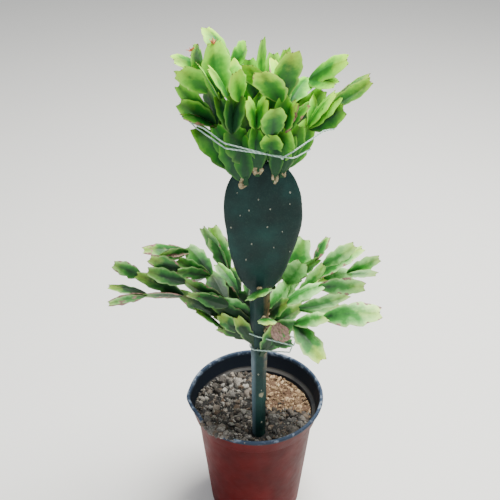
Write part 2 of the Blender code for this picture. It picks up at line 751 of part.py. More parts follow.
def main():
    for obj in list(bpy.data.objects):
        bpy.data.objects.remove(obj)
    collection = new_collection(OBJECT_NAME)
    string = material("tie_string", (0.35, 0.55, 0.42), 0.5)
    make_pot(collection)
    make_soil(collection)
    rootstock, pad = make_stem(collection), make_pad(collection)
    obstacles = [rootstock, pad]
    for name, (stations, posts) in LOWER_TIES.items():
        places = stem_ring(stations) + [Vector(post) * MM for post in posts]
        obstacles.append(make_tie(name, places, stations, string, collection))
    depsgraph = bpy.context.evaluated_depsgraph_get()
    growth = Growth([BVHTree.FromObject(obj, depsgraph) for obj in obstacles])
    combine(rootstock, [pad], "UNION")
    plan = scion_plan()
    growth.grow_plan(plan)
    for tier, crown in CROWNS.items():
        growth.grow_more(tier, *crown)
    scions = make_scions(growth, plan, rootstock, collection)
    held = [scion for scion in scions if scion.name.startswith("upper")]
    for name, stations in UPPER_TIES.items():
        places = crossing_points(held, stations)
        held.append(make_tie(name, places, stations, string, collection, knotted=name == "upper_tie_2"))
    return growth


if __name__ == "__main__":
    main()
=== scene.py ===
# %% [markdown]
# # A Christmas cactus grafted in two tiers
# The object is a potted plant: a dark rootstock with a flat pad on top, two tiers of leafy cactus
# segments grafted on it, thin string round them, soil, and a two-colour nursery pot. The solids it is
# packed with are plain. This file keeps their places and gives every surface its finer form and finish.
# Everything is in metres with +Z up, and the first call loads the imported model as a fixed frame.

# %% Load the frame
import json
import math
import random

import bmesh
import bpy
from mathutils import Matrix, Vector, noise
from mathutils.bvhtree import BVHTree

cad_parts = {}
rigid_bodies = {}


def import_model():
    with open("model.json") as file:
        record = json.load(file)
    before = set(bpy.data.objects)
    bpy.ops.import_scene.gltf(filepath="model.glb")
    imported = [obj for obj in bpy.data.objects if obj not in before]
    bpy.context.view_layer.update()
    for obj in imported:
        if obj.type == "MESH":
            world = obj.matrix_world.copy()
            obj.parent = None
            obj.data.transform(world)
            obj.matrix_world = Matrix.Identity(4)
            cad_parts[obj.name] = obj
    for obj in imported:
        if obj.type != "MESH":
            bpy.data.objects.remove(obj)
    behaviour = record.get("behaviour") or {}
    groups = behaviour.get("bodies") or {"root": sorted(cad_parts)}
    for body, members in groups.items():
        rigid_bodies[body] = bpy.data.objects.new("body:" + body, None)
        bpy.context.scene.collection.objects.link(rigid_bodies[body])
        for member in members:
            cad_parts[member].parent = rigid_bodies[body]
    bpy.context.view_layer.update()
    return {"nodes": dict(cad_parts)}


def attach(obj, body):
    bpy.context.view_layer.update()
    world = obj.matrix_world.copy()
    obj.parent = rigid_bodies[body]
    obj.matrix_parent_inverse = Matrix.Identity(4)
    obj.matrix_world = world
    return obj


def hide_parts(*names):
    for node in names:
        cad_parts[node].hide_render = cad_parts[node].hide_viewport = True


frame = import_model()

MM = 0.001

# %% [markdown]
# ## Two small helpers
# A colour is given as an sRGB hex value, but shaders work in linear light, so one function turns the one
# into the other. A second adds a node with its settings and links. The node's kind may be followed by its
# operation or data type. Plain values fill its sockets in order; a name with a capital is a socket, and a
# name in small letters is a setting. A value may be a number, a hex colour, an output or another node,
# whose first output is then linked.

# %% Colour and node helpers
def colour(hex_value):
    """An sRGB hex colour as linear red, green, blue and alpha."""
    channels = [int(hex_value[start:start + 2], 16) / 255 for start in (1, 3, 5)]
    return [c / 12.92 if c <= 0.04045 else ((c + 0.055) / 1.055) ** 2.4 for c in channels] + [1]


def add(tree, kind, *values, stops=(), **named):
    """A node of this kind, with its settings, its socket values and links, and a colour ramp's stops."""
    kind, _, choice = kind.partition(" ")
    node = tree.nodes.new("ShaderNode" + kind)
    if choice:
        setattr(node, "data_type" if kind == "Mix" else "operation", choice)
    for name, value in named.items():
        if name[0].islower():
            setattr(node, name, value)
    pairs = list(zip([socket for socket in node.inputs if socket.enabled], values))
    pairs += [(node.inputs[name.replace("_", " ")], value)
              for name, value in named.items() if name[0].isupper()]
    for socket, value in pairs:
        if isinstance(value, bpy.types.Node):
            value = next(output for output in value.outputs if output.enabled)
        if isinstance(value, bpy.types.NodeSocket):
            tree.links.new(value, socket)
        else:
            socket.default_value = colour(value) if isinstance(value, str) else value
    for index, (place, hex_value) in enumerate(stops):
        if index >= len(node.color_ramp.elements):
            node.color_ramp.elements.new(place)
        node.color_ramp.elements[index].position = place
        node.color_ramp.elements[index].color = colour(hex_value)
    return node


def new_material(name):
    """A material, its node tree, and the object coordinates in it, which its patterns follow."""
    made = bpy.data.materials.new(name)
    made.use_nodes = True
    made.node_tree.nodes.clear()
    return made, made.node_tree, add(made.node_tree, "TexCoord").outputs["Object"]

# %% [markdown]
# ## Camera
# A product photo is taken from one spot, and every proportion in the picture follows from it. The pot's
# rim and shoulder are circles, so their ellipses in the picture give the camera: 0.85 m above the table,
# 0.73 m in front of the pot, tipped down by almost 33 degrees, with a lens a little longer than normal.

# %% Place the camera
CAMERA_AT = Vector((-6.9, -726.2, 844.9)) * MM
CAMERA_DOWN = math.radians(32.66)
CAMERA_LENS = 57.47                 # millimetres, on a 36 mm sensor

camera = bpy.data.objects.new("camera", bpy.data.cameras.new("camera"))
camera.location = CAMERA_AT
camera.rotation_euler = (math.pi / 2 - CAMERA_DOWN, 0, 0)
camera.data.lens = CAMERA_LENS
bpy.context.scene.collection.objects.link(camera)
bpy.context.scene.camera = camera
print("camera", [round(value, 3) for value in CAMERA_AT])

# %% [markdown]
# ## Floor and light
# The plant stood outdoors under a bright, hazy sky. One large soft lamp above stands for it, a little
# behind and to the right, so that leaf tops shine and the pad facing us stays dark. A weaker one in front
# and the pale surroundings fill the shadows. The floor is one big plane.

# %% Build the stage
def new_object(name, bm):
    """An object at the origin with the bmesh's geometry, which is then freed."""
    mesh = bpy.data.meshes.new(name)
    bm.to_mesh(mesh)
    bm.free()
    obj = bpy.data.objects.new(name, mesh)
    bpy.context.scene.collection.objects.link(obj)
    return obj


def area_light(name, place, aim_at, size, watts, tint):
    """A square lamp of this size, aimed at a point."""
    light = bpy.data.lights.new(name, "AREA")
    light.size = size
    light.energy = watts
    light.color = colour(tint)[:3]
    lamp = bpy.data.objects.new(name, light)
    lamp.location = place
    lamp.rotation_euler = (Vector(aim_at) - Vector(place)).to_track_quat("-Z", "Y").to_euler()
    bpy.context.scene.collection.objects.link(lamp)


area_light("sky", (0.45, 0.25, 1.9), (0, 0, 0.4), 1.0, 92, "#fffdf6")
area_light("front_fill", (-0.9, -1.6, 1.2), (0, 0, 0.35), 1.6, 12, "#f4f8ff")

FLOOR_HALF = 4.0
bm = bmesh.new()
bmesh.ops.create_grid(bm, x_segments=1, y_segments=1, size=FLOOR_HALF)
floor = new_object("floor", bm)
board, tree, _ = new_material("matt_white_board")
add(tree, "OutputMaterial", add(tree, "BsdfPrincipled", Base_Color="#f4f4f2", Roughness=0.9))
floor.data.materials.append(board)

world = bpy.data.worlds.new("pale_surroundings")
world.use_nodes = True
background = world.node_tree.nodes["Background"]
background.inputs["Color"].default_value = colour("#f3f6fa")
background.inputs["Strength"].default_value = 0.42
bpy.context.scene.world = world
print("stage ready")

# %% [markdown]
# ## Finishing a piece
# A modifier or a Boolean gives a piece its last form, and its result is kept as a plain mesh. Then every
# piece ends the same way: it gets its material and is tied to the frame. It rides on the one body, and the
# imported solids it replaces are hidden. Its object stays at the origin, unturned.

# %% Piece helpers
def bake_modifiers(obj):
    """Replaces the object's mesh by its evaluated one and drops the modifiers."""
    evaluated = obj.evaluated_get(bpy.context.evaluated_depsgraph_get())
    mesh = bpy.data.meshes.new_from_object(evaluated)
    obj.modifiers.clear()
    obj.data = mesh


def join_solids(obj, others, operation="UNION"):
    """One Boolean of obj with closed meshes, which are then removed."""
    group = bpy.data.collections.new(obj.name + "_parts")
    bpy.context.scene.collection.children.link(group)
    for other in others:
        bpy.context.scene.collection.objects.unlink(other)
        group.objects.link(other)
    boolean = obj.modifiers.new("join", "BOOLEAN")
    boolean.operation = operation
    boolean.operand_type = "COLLECTION"
    boolean.collection = group
    boolean.solver = "MANIFOLD"
    bake_modifiers(obj)
    for other in others:
        bpy.data.objects.remove(other)
    bpy.data.collections.remove(group)


def finish_piece(obj, surface, slot, *replaced, smooth_angle=40):
    """Shades the piece, gives it its material and ties it to the frame."""
    obj.data.materials.clear()
    obj.data.materials.append(surface)
    obj.data.shade_smooth()
    obj.data.set_sharp_from_angle(angle=math.radians(smooth_angle))
    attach(obj, "root")
    if replaced:
        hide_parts(*replaced)
    print(obj.name, len(obj.data.polygons), "faces")

# %% [markdown]
# ## The pot
# A nursery pot is one sheet of plastic, formed over a mould: a tapered wall, a step called the shoulder
# where the pots rest in each other when stacked, a flared collar and a rolled rim. A turned form like this
# is a profile spun round an axis. The spin is a full one, so use_merge closes its seam. The bevel that
# follows rounds each corner of the profile, as a formed sheet is never sharp.

# %% Measure the pot
POT_HEIGHT = 172 * MM
POT_BASE_RADIUS = 57 * MM
POT_SHOULDER_Z = 148 * MM
POT_SHOULDER_RADIUS = 71 * MM
POT_COLLAR_RADIUS = 79.5 * MM
POT_RIM_RADIUS = 82.5 * MM
POT_WALL = 1.5 * MM
POT_FLOOR = 2.2 * MM
LEDGE_RADIUS = POT_SHOULDER_RADIUS + 2.5 * MM
LEDGE_Z = POT_SHOULDER_Z + 1.5 * MM
COLLAR_INSIDE = POT_COLLAR_RADIUS - POT_WALL
DRAIN_HOLES, DRAIN_RADIUS, DRAIN_RING = 6, 5 * MM, 42 * MM
POT_STEPS = 128
POT_CORNER = math.radians(24)       # ring edges sharper than this are rounded
POT_ROUNDING = 0.35 * MM
SAME = 0.01 * MM                    # points closer than this are one


def wall_radius(z):
    """The pot's outer radius at a height, up to its shoulder."""
    return POT_BASE_RADIUS + (POT_SHOULDER_RADIUS - POT_BASE_RADIUS) * z / POT_SHOULDER_Z


def inner_radius(z):
    """The pot's inner radius at a height: the wall, then the flared collar over its ledge."""
    if z < LEDGE_Z:
        return wall_radius(min(z, POT_SHOULDER_Z)) - POT_WALL
    share = min((z - LEDGE_Z) / (POT_HEIGHT - 3 * MM - LEDGE_Z), 1)
    return LEDGE_RADIUS + (COLLAR_INSIDE - LEDGE_RADIUS) * share


POT_PROFILE = [
    (0, POT_FLOOR),
    (inner_radius(POT_FLOOR), POT_FLOOR),
    (wall_radius(POT_SHOULDER_Z) - POT_WALL, POT_SHOULDER_Z),
    (LEDGE_RADIUS, LEDGE_Z),
    (COLLAR_INSIDE, POT_HEIGHT - 3 * MM),
    (COLLAR_INSIDE + 0.8 * MM, POT_HEIGHT - 0.6 * MM),
    (COLLAR_INSIDE + 2 * MM, POT_HEIGHT),
    (POT_RIM_RADIUS - 0.8 * MM, POT_HEIGHT - 0.4 * MM),
    (POT_RIM_RADIUS, POT_HEIGHT - 2 * MM),
    (POT_RIM_RADIUS - 0.6 * MM, POT_HEIGHT - 4.5 * MM),
    (POT_COLLAR_RADIUS + 0.6 * MM, POT_HEIGHT - 5.5 * MM),
    (LEDGE_RADIUS + POT_WALL, POT_SHOULDER_Z + 0.5 * MM),
    (LEDGE_RADIUS, POT_SHOULDER_Z - 1 * MM),
    (POT_SHOULDER_RADIUS, POT_SHOULDER_Z - 1.6 * MM),
    (wall_radius(2 * MM), 2 * MM),
    (POT_BASE_RADIUS - 1.2 * MM, 0),
    (0, 0),
]

# The collar has been bent by hands: degrees round it, degrees wide and millimetres outwards
POT_BENDS = ((183, 8, 2.2), (208, 12, -4.0), (95, 30, 0.8), (320, 25, -1.0))
BENDS_FROM_Z = 130 * MM


def bend_at(turn, z):
    """How far the collar is bent outwards, at an angle in radians and a height."""
    share = min(max((z - BENDS_FROM_Z) / (POT_HEIGHT - BENDS_FROM_Z), 0), 1)
    degrees = math.degrees(turn) % 360
    return share ** 2 * sum(depth * MM * math.exp(-((degrees - middle) / width) ** 2)
                            for middle, width, depth in POT_BENDS)

# %% Turn the pot
def around(turn, radius):
    """The x and y at an angle in radians and a distance from the axis."""
    return radius * math.cos(turn), radius * math.sin(turn)


def spun(profile, steps):
    """A bmesh turned round Z from (radius, z) points that start and end on the axis."""
    bm = bmesh.new()
    verts = [bm.verts.new((radius, 0, z)) for radius, z in profile]
    for start, end in zip(verts, verts[1:]):
        bm.edges.new((start, end))
    bmesh.ops.spin(bm, geom=bm.verts[:] + bm.edges[:], axis=(0, 0, 1), cent=(0, 0, 0),
                   angle=math.tau, steps=steps, use_merge=True)
    bmesh.ops.remove_doubles(bm, verts=bm.verts[:], dist=SAME)
    bmesh.ops.recalc_face_normals(bm, faces=bm.faces[:])
    return bm


bm = spun(POT_PROFILE, POT_STEPS)
corners = [edge for edge in bm.edges if edge.calc_face_angle(0) > POT_CORNER
           and abs(edge.verts[0].co.z - edge.verts[1].co.z) < SAME]
bmesh.ops.bevel(bm, geom=corners, offset=POT_ROUNDING, affect="EDGES", segments=2, profile=0.5, material=-1)
for vert in bm.verts:
    turn, radius = math.atan2(vert.co.y, vert.co.x), math.hypot(vert.co.x, vert.co.y)
    if radius > POT_BASE_RADIUS:
        bent = 1 + bend_at(turn, vert.co.z) / radius
        vert.co = (vert.co.x * bent, vert.co.y * bent, vert.co.z)
pot = new_object("nursery_pot", bm)
drains = []
for index in range(DRAIN_HOLES):
    turn = math.tau * (index + 0.5) / DRAIN_HOLES
    bm = bmesh.new()
    bmesh.ops.create_cone(bm, cap_ends=True, segments=32, radius1=DRAIN_RADIUS, radius2=DRAIN_RADIUS,
                          depth=4 * POT_FLOOR, matrix=Matrix.Translation((*around(turn, DRAIN_RING), 0)))
    drains.append(new_object("drain", bm))
join_solids(pot, drains, "DIFFERENCE")

# %% [markdown]
# ### Its plastic
# The pot is polypropylene, formed from a sheet with two layers: brick red outside, black inside. The black
# layer wraps over the rim. So the colour depends on the place: red where the surface looks outwards below
# the rim, black elsewhere. The black is painted a little blue, and blue-grey towards the top of the rim: a
# painted reflection of the sky. Pale patches on the rim's top are partly scuff marks and partly painted
# highlight, and the inner ledge is paler grey in patches. Weathering makes the red blotchy and dusty, and
# the satin gloss uneven.

# %% Thermoformed polypropylene
RIM_BAND = 5.2 * MM                 # how far the black layer reaches down outside
LEDGE_PATCH_REACH = 1.8 * MM               # how far from the inner ledge the paler grey patches reach
BLOTCHES, DUST, SHEEN_PATCHES, RIPPLES, SCUFFS_AND_HIGHLIGHTS = 38 * MM, 3 * MM, 12 * MM, 6 * MM, 7 * MM

polypropylene, tree, here = new_material("thermoformed_polypropylene")
height = add(tree, "SeparateXYZ", here).outputs["Z"]
flat_place = add(tree, "VectorMath MULTIPLY", here, (1, 1, 0))
away = add(tree, "VectorMath NORMALIZE", flat_place)
normal = add(tree, "NewGeometry").outputs["Normal"]
outward = add(tree, "VectorMath DOT_PRODUCT", away, normal).outputs["Value"]
below_rim = add(tree, "Math LESS_THAN", height, POT_HEIGHT - RIM_BAND)
is_red = add(tree, "Math MULTIPLY", below_rim, add(tree, "Math GREATER_THAN", outward, -0.05))
blotches = add(tree, "TexNoise", Vector=here, Scale=1 / BLOTCHES, Detail=5.0)
red = add(tree, "ValToRGB", blotches, stops=((0.32, "#42070a"), (0.5, "#4e090b"), (0.68, "#5c1012")))
dust = add(tree, "TexNoise", Vector=here, Scale=1 / DUST, Detail=2.0)
dusty = add(tree, "Mix RGBA", add(tree, "Math MULTIPLY", dust, 0.06), red, "#7a4038")
# Painted reflection of the sky: the black is tinted blue, and turns blue-grey towards the top of the rim.
near_rim = add(tree, "MapRange", height, POT_HEIGHT - 5 * MM, POT_HEIGHT)
black = add(tree, "Mix RGBA", near_rim, "#161b23", "#3a475b")
# The inner ledge is paler grey in patches.
from_ledge = add(tree, "Math COMPARE", height, LEDGE_Z, LEDGE_PATCH_REACH)
ledge_patches = add(tree, "Math MULTIPLY", from_ledge, add(tree, "MapRange", blotches, 0.35, 0.6, 0.2, 0.8))
black = add(tree, "Mix RGBA", ledge_patches, black, "#4a4846")
# Pale patches at the top of the rim: partly scuff marks, partly painted highlight.
scuffs_and_highlights = add(tree, "TexNoise", Vector=here, Scale=1 / SCUFFS_AND_HIGHLIGHTS, Detail=3.0)
scuffed_and_lit = add(tree, "Math MULTIPLY", add(tree, "MapRange", scuffs_and_highlights, 0.52, 0.64, 0.0, 0.7), near_rim)
black = add(tree, "Mix RGBA", scuffed_and_lit, black, "#8c99ab")
patches = add(tree, "TexNoise", Vector=here, Scale=1 / SHEEN_PATCHES, Detail=4.0)
ripples = add(tree, "TexNoise", Vector=here, Scale=1 / RIPPLES, Detail=4.0)
shader = add(tree, "BsdfPrincipled", IOR=1.49, Specular_IOR_Level=0.08,
             Base_Color=add(tree, "Mix RGBA", is_red, black, dusty),
             Roughness=add(tree, "MapRange", patches, 0.0, 1.0, 0.38, 0.62),
             Normal=add(tree, "Bump", Height=ripples, Distance=0.15 * MM, Strength=1.0))
add(tree, "OutputMaterial", shader)
finish_piece(pot, polypropylene, "pot_plastic", "pot", smooth_angle=32)

# %% [markdown]
# ## The rootstock
# A strong upright cactus carries the grafts: a ribbed stem that ends in one flat pad. It grew as one piece.
# A cylinder whose rings are moved out to measured radii gives the stem, and a sphere pressed to the
# pad's outline gives the pad. Coarse ones come first, because the branches below must keep clear of them.

# %% Measure the stem and the pad
STEM_X = 3.5 * MM
STEM_Y = -42 * MM
STEM_STATIONS = ((75, 6.2), (132, 7.0), (160, 7.4), (290, 9.2), (320, 9.9), (345, 10.4),
                 (362, 10.0), (380, 8.4), (400, 5.0))
STEM_SIDES = 18
STEM_RIBS = 6
STEM_RIB_DEPTH = 0.05
STEM_RIDGE = 0.07                   # the fine stem's ridges are a little higher
STEM_SHARPNESS = 0.8                # below 1 makes them sharper
PAD_X = 5 * MM
PAD_BOTTOM = 354 * MM
PAD_TOP = 506 * MM
PAD_HALF_WIDTH = 38.5 * MM
PAD_HALF_THICKNESS = 9.5 * MM
PAD_WIDEST = 1.35                   # above 1 moves the widest place towards the top
PAD_SQUARENESS = 0.30               # below 1 fills out the top and bottom
PAD_BLUNTNESS = 0.35                # below 1 keeps the margin thick


def between(stations, place):
    """The value at a place along (place, value) stations, held level beyond both ends."""
    if place <= stations[0][0]:
        return stations[0][1]
    for (start, first), (end, second) in zip(stations, stations[1:]):
        if place <= end:
            return first + (second - first) * (place - start) / (end - start)
    return stations[-1][1]


def stem_radius(z):
    """The stem's mean radius at a height, from its stations."""
    return between(STEM_STATIONS, z / MM) * MM


def stem_point(turn, height):
    """A point on the stem, turn degrees round it from +X, at a height in millimetres."""
    angle = math.radians(turn)
    radius = stem_radius(height * MM)
    return Vector((STEM_X + radius * math.cos(angle), STEM_Y + radius * math.sin(angle), height * MM))


def pad_point(turn, share):
    """A point on the pad, turn degrees round its long axis from +X, at a share of its height."""
    angle = math.radians(turn)
    half_width = PAD_HALF_WIDTH * max(math.sin(math.pi * share ** PAD_WIDEST), 0) ** PAD_SQUARENESS
    half_thickness = PAD_HALF_THICKNESS * max(math.sin(math.pi * share), 0) ** PAD_BLUNTNESS
    middle = STEM_X + (PAD_X - STEM_X) * min(2 * share, 1)
    return Vector((middle + half_width * math.cos(angle), STEM_Y + half_thickness * math.sin(angle),
                   PAD_BOTTOM + (PAD_TOP - PAD_BOTTOM) * share))

# %% Model the stem and the pad
def stem_shape(sides, finer):
    """The upright stem: a cylinder whose rings are moved out to the stations, in ribs.

    finer is how many rings stand for each station. From two on, the ribs have sharper ridges.
    """
    bm = bmesh.new()
    bmesh.ops.create_cone(bm, cap_ends=True, segments=sides, radius1=1, radius2=1, depth=1)
    upright = [edge for edge in bm.edges if abs(edge.verts[0].co.z - edge.verts[1].co.z) > 0.5]
    last = len(STEM_STATIONS) - 1
    bmesh.ops.subdivide_edges(bm, edges=upright, cuts=last * finer - 1)
    for vert in bm.verts:
        ring = round((vert.co.z + 0.5) * last * finer) / finer
        low, share = min(int(ring), last - 1), ring - min(int(ring), last - 1)
        height, radius = (first + (second - first) * share
                          for first, second in zip(STEM_STATIONS[low], STEM_STATIONS[low + 1]))
        angle = math.atan2(vert.co.y, vert.co.x)
        if finer == 1:
            rib = STEM_RIB_DEPTH * math.cos(STEM_RIBS * angle)
        else:
            rib = STEM_RIDGE * (1 - 2 * abs(math.sin(STEM_RIBS / 2 * angle)) ** STEM_SHARPNESS)
        out = radius * MM * (1 + rib)
        vert.co = (STEM_X + out * math.cos(angle), STEM_Y + out * math.sin(angle), height * MM)
    return bm


def pad_shape(around, rings):
    """The flat pad: a sphere whose rings are moved out to the pad's outline."""
    bm = bmesh.new()
    bmesh.ops.create_uvsphere(bm, u_segments=around, v_segments=rings, radius=1)
    for vert in bm.verts:
        vert.co = pad_point(math.degrees(math.atan2(vert.co.y, vert.co.x)), (vert.co.z + 1) / 2)
    return bm


coarse = {"stem": stem_shape(STEM_SIDES, finer=1), "pad": pad_shape(around=18, rings=14)}
print("stem and pad", {name: len(bm.faces) for name, bm in coarse.items()})

# %% [markdown]
# ## The plan of the grafts
# A scion is a small branch cut from a Christmas cactus and set in a slit in the rootstock. It branches
# segment by segment. The segments that show most in the picture are written down one by one: the compass
# heading, the rise above level and the roll of the blade, in degrees, then its length and width. Each
# carries the segments that grow from its end, so the nesting is the branching.

# %% Write down the branches
def seg(heading, rise, roll, length, width, *branches):
    """A segment: degrees round +Z from +X, degrees above level, degrees of roll, and millimetres."""
    return {"aim": (heading, rise, roll), "size": (length * MM, width * MM), "branches": branches}


def scion_plan():
    """Each scion's name, its place on the rootstock, and the segments that grow from it."""
    return {
        "upper_scion_1": (pad_point(180, 0.93), seg(160, 45, -20, 58, 28)),
        "upper_scion_2": (pad_point(180, 0.966), seg(135, 40, 0, 54, 26,
            seg(-175, 35, 70, 42, 26), seg(-150, 25, -10, 38, 21),
            seg(-135, 75, 0, 42, 22,
                seg(-150, 45, 55, 40, 26), seg(140, 10, 75, 42, 21),
                seg(100, 25, -55, 38, 22, seg(-135, 25, -30, 40, 23), seg(-105, 40, 85, 42, 23))))),
        "upper_scion_3": (pad_point(180, 0.993), seg(-140, 60, -85, 48, 30,
            seg(-100, 80, 65, 42, 21,
                seg(-165, 60, -15, 38, 23),
                seg(95, 35, -40, 42, 26, seg(125, 35, 10, 46, 23), seg(65, 10, 85, 38, 23))),
            seg(-25, 75, 55, 40, 21, seg(-115, 75, 70, 32, 23)),
            seg(-170, 70, -40, 42, 21, seg(110, 45, -50, 54, 30), seg(-155, 75, 30, 42, 21)))),
        "upper_scion_4": (pad_point(90, 1), seg(-125, 75, 80, 46, 26,
            seg(-135, 65, -70, 34, 21),
            seg(85, 30, -45, 48, 23, seg(-95, 85, 70, 52, 23), seg(-130, 55, 15, 38, 26)),
            seg(-40, 70, 65, 34, 21))),
        "upper_scion_5": (pad_point(0, 0.993), seg(-65, 70, -60, 46, 30,
            seg(-105, 75, 50, 40, 22,
                seg(-55, 75, -10, 52, 28), seg(-140, 55, 30, 42, 30), seg(85, 55, -55, 48, 26),
                seg(105, 40, 40, 44, 23)),
            seg(-25, 70, 45, 34, 19), seg(-15, 55, 20, 38, 20),
            seg(80, 20, 55, 44, 22,
                seg(60, 20, -5, 42, 26, seg(-30, 35, 40, 50, 26), seg(-50, 10, 25, 38, 21))))),
        "upper_scion_6": (pad_point(0, 0.955), seg(35, 58, 68, 50, 26,
            seg(-20, 35, 60, 42, 24), seg(-10, 50, 30, 46, 23, seg(25, 30, -70, 40, 23)),
            seg(0, 55, 5, 44, 23), seg(70, 40, 75, 36, 21))),
        "upper_scion_7": (pad_point(0, 0.999), seg(-95, 75, 5, 42, 22, seg(-105, 80, 20, 44, 24))),
        "upper_scion_8": (pad_point(115, 0.93), seg(115, 45, 0, 46, 26)),
        "upper_scion_9": (pad_point(60, 0.92), seg(60, 45, 0, 46, 26)),
        "lower_scion_1": (stem_point(150, 319), seg(-175, 35, 85, 40, 21,
            seg(120, 25, 0, 42, 23,
                seg(145, 40, -20, 42, 25, seg(-165, 12, -5, 52, 26), seg(-145, 10, 70, 40, 23)),
                seg(-155, 25, 65, 42, 23, seg(-175, 30, 80, 38, 23))),
            seg(-172, 20, 60, 44, 22))),
        "lower_scion_2": (stem_point(165, 309), seg(170, 15, 90, 42, 19,
            seg(165, 25, -80, 52, 22,
                seg(175, 26, 80, 58, 25, seg(175, 25, 85, 34, 23)),
                seg(-175, 5, 55, 46, 21, seg(-165, -5, 65, 44, 23), seg(-180, 15, 5, 44, 19))))),
        "lower_scion_3": (stem_point(120, 324), seg(125, 0, -70, 36, 21,
            seg(115, 20, -40, 40, 23, seg(125, 55, -50, 56, 25), seg(138, 48, 90, 60, 24)))),
        "lower_scion_4": (stem_point(185, 290), seg(165, 31, 80, 40, 21, seg(175, 45, -10, 44, 22))),
        "lower_scion_5": (stem_point(-92, 364), seg(-95, 15, 25, 24, 30)),
        "lower_scion_6": (stem_point(-65, 326), seg(-75, 20, -5, 24, 21)),
        "lower_scion_7": (stem_point(40, 328), seg(55, 10, 70, 46, 23,
            seg(0, 60, 85, 34, 28), seg(50, 55, 30, 56, 30),
            seg(20, 35, -80, 48, 21, seg(50, 40, -25, 32, 19)))),
        "lower_scion_8": (stem_point(20, 315), seg(40, 5, 20, 46, 22,
            seg(30, 40, -10, 42, 21, seg(15, 30, 0, 64, 24)),
            seg(20, 35, 10, 44, 22,
                seg(25, 0, 25, 40, 24, seg(15, 20, -85, 42, 22), seg(15, -10, -60, 38, 21))))),
        "lower_scion_9": (stem_point(-5, 324), seg(-45, 45, 45, 38, 23,
            seg(0, 30, 5, 48, 24, seg(0, 0, -85, 50, 25)))),
        "lower_scion_10": (stem_point(-15, 314), seg(15, 25, 90, 42, 22,
            seg(0, 10, -85, 46, 23), seg(35, -20, 0, 36, 19))),
        "lower_scion_11": (stem_point(-25, 304), seg(-25, 35, -70, 42, 22,
            seg(-10, 20, 10, 40, 22, seg(-5, 10, 25, 62, 30)), seg(-50, -28, 5, 50, 28))),
        "lower_scion_12": (stem_point(-45, 292), seg(-18, -5, 90, 31, 23)),
        "lower_scion_13": (stem_point(-45, 308), seg(-40, 20, 85, 34, 24)),
        "lower_scion_14": (stem_point(95, 335), seg(95, 35, 0, 42, 23)),
        "lower_scion_15": (stem_point(75, 317), seg(75, 20, 0, 42, 23)),
        "lower_scion_16": (stem_point(110, 310), seg(110, 15, 0, 42, 23)),
        "lower_scion_17": (stem_point(50, 308), seg(50, 15, 0, 42, 23)),
    }

plan = scion_plan()
print("scions", len(plan))

# %% [markdown]
# ## How a segment grows
# Segments that were simply placed would cut through each other. So each one is tried where the plan wants
# it, slightly fatter than it is, and where it touches anything it is turned a little and tried again. A
# seeded rule then adds the segments behind the planned ones. The test blade is coarse: rows of three
# points across, a lens of two like faces. A BVH tree finds quickly whether two such meshes touch.

# %% Measure the segments
# Graft: each scion's root is a small wedge that stands in a slit in the rootstock
ROOT_WIDTH = 4.4 * MM
ROOT_THICKNESS = 1.9 * MM
ROOT_DEPTH = 5 * MM
ROOT_REACH = 4 * MM
ROOT_OVERLAP = 3 * MM

# Segment: a flat blade with a midrib, pairs of forward teeth and a notched end between two horns.
# Each row is the place along the edge, the place along the midrib, the share of the half width and
# the share of the midrib's height.
ROWS = (
    (0.00, 0.00, 0.20, 0.0),
    (0.14, 0.14, 0.56, 0.8),
    (0.38, 0.35, 0.94, 1.0),
    (0.43, 0.44, 0.80, 1.0),
    (0.66, 0.63, 1.00, 1.0),
    (0.72, 0.75, 0.78, 0.8),
    (1.00, 0.94, 0.42, 0.0),
)
RIB_HALF = 1.3 * MM                 # half the thickness at the midrib
JOINT_SINK = 4.5 * MM               # a segment starts this far inside the one below it
JOINT_SPREAD = 4.0 * MM             # how far the segments of one end stand apart
CUPPING = 0.10                      # edges drop by this share of the width
CURL = math.radians(20)             # the bend from a segment's root to its tip

# Growth: what is tried where a segment has no room
CLEAR = 0.7 * MM                    # a segment is this much fatter while it is tested
TRIES = 160
LEAST_TURN, MOST_TURN = 4, 55       # degrees
ROLL_FACTOR = 1.5                   # the roll may turn this much further than the other angles
STRICT_SHARE = 0.6                  # the share of the tries in which it keeps clear of its own scion too
GROWTH_SEED = 11

# Crowns: for each tier, the ellipsoid's middle and radii that the segments added by rule stay in, how
# many are added, and the degrees above level at which they rise
CROWNS = {
    "upper": (Vector((0, -10, 545)) * MM, Vector((72, 60, 46)) * MM, 16, 35),
    "lower": (Vector((0, -15, 335)) * MM, Vector((85, 65, 40)) * MM, 12, 15),
}
CROWN_SPREAD = (35, 20, 35)         # degrees that their heading, rise and roll vary by
CROWN_LENGTHS = (34, 46)
CROWN_WIDTHS = (18, 23)
CROWN_TRIES = 60
MOST_BRANCHES = 3
BEHIND_Y = -34 * MM                 # segments added by rule end behind this plane

# %% Place a blade
def directions(heading, rise, roll):
    """Unit vectors along, across and out of a blade, from its three angles in degrees."""
    heading, rise, roll = (math.radians(angle) for angle in (heading, rise, roll))
    along = Vector((math.cos(rise) * math.cos(heading), math.cos(rise) * math.sin(heading), math.sin(rise)))
    level = Vector((-math.sin(heading), math.cos(heading), 0))
    above = along.cross(level)
    across = level * math.cos(roll) + above * math.sin(roll)
    return along, across, above * math.cos(roll) - level * math.sin(roll)


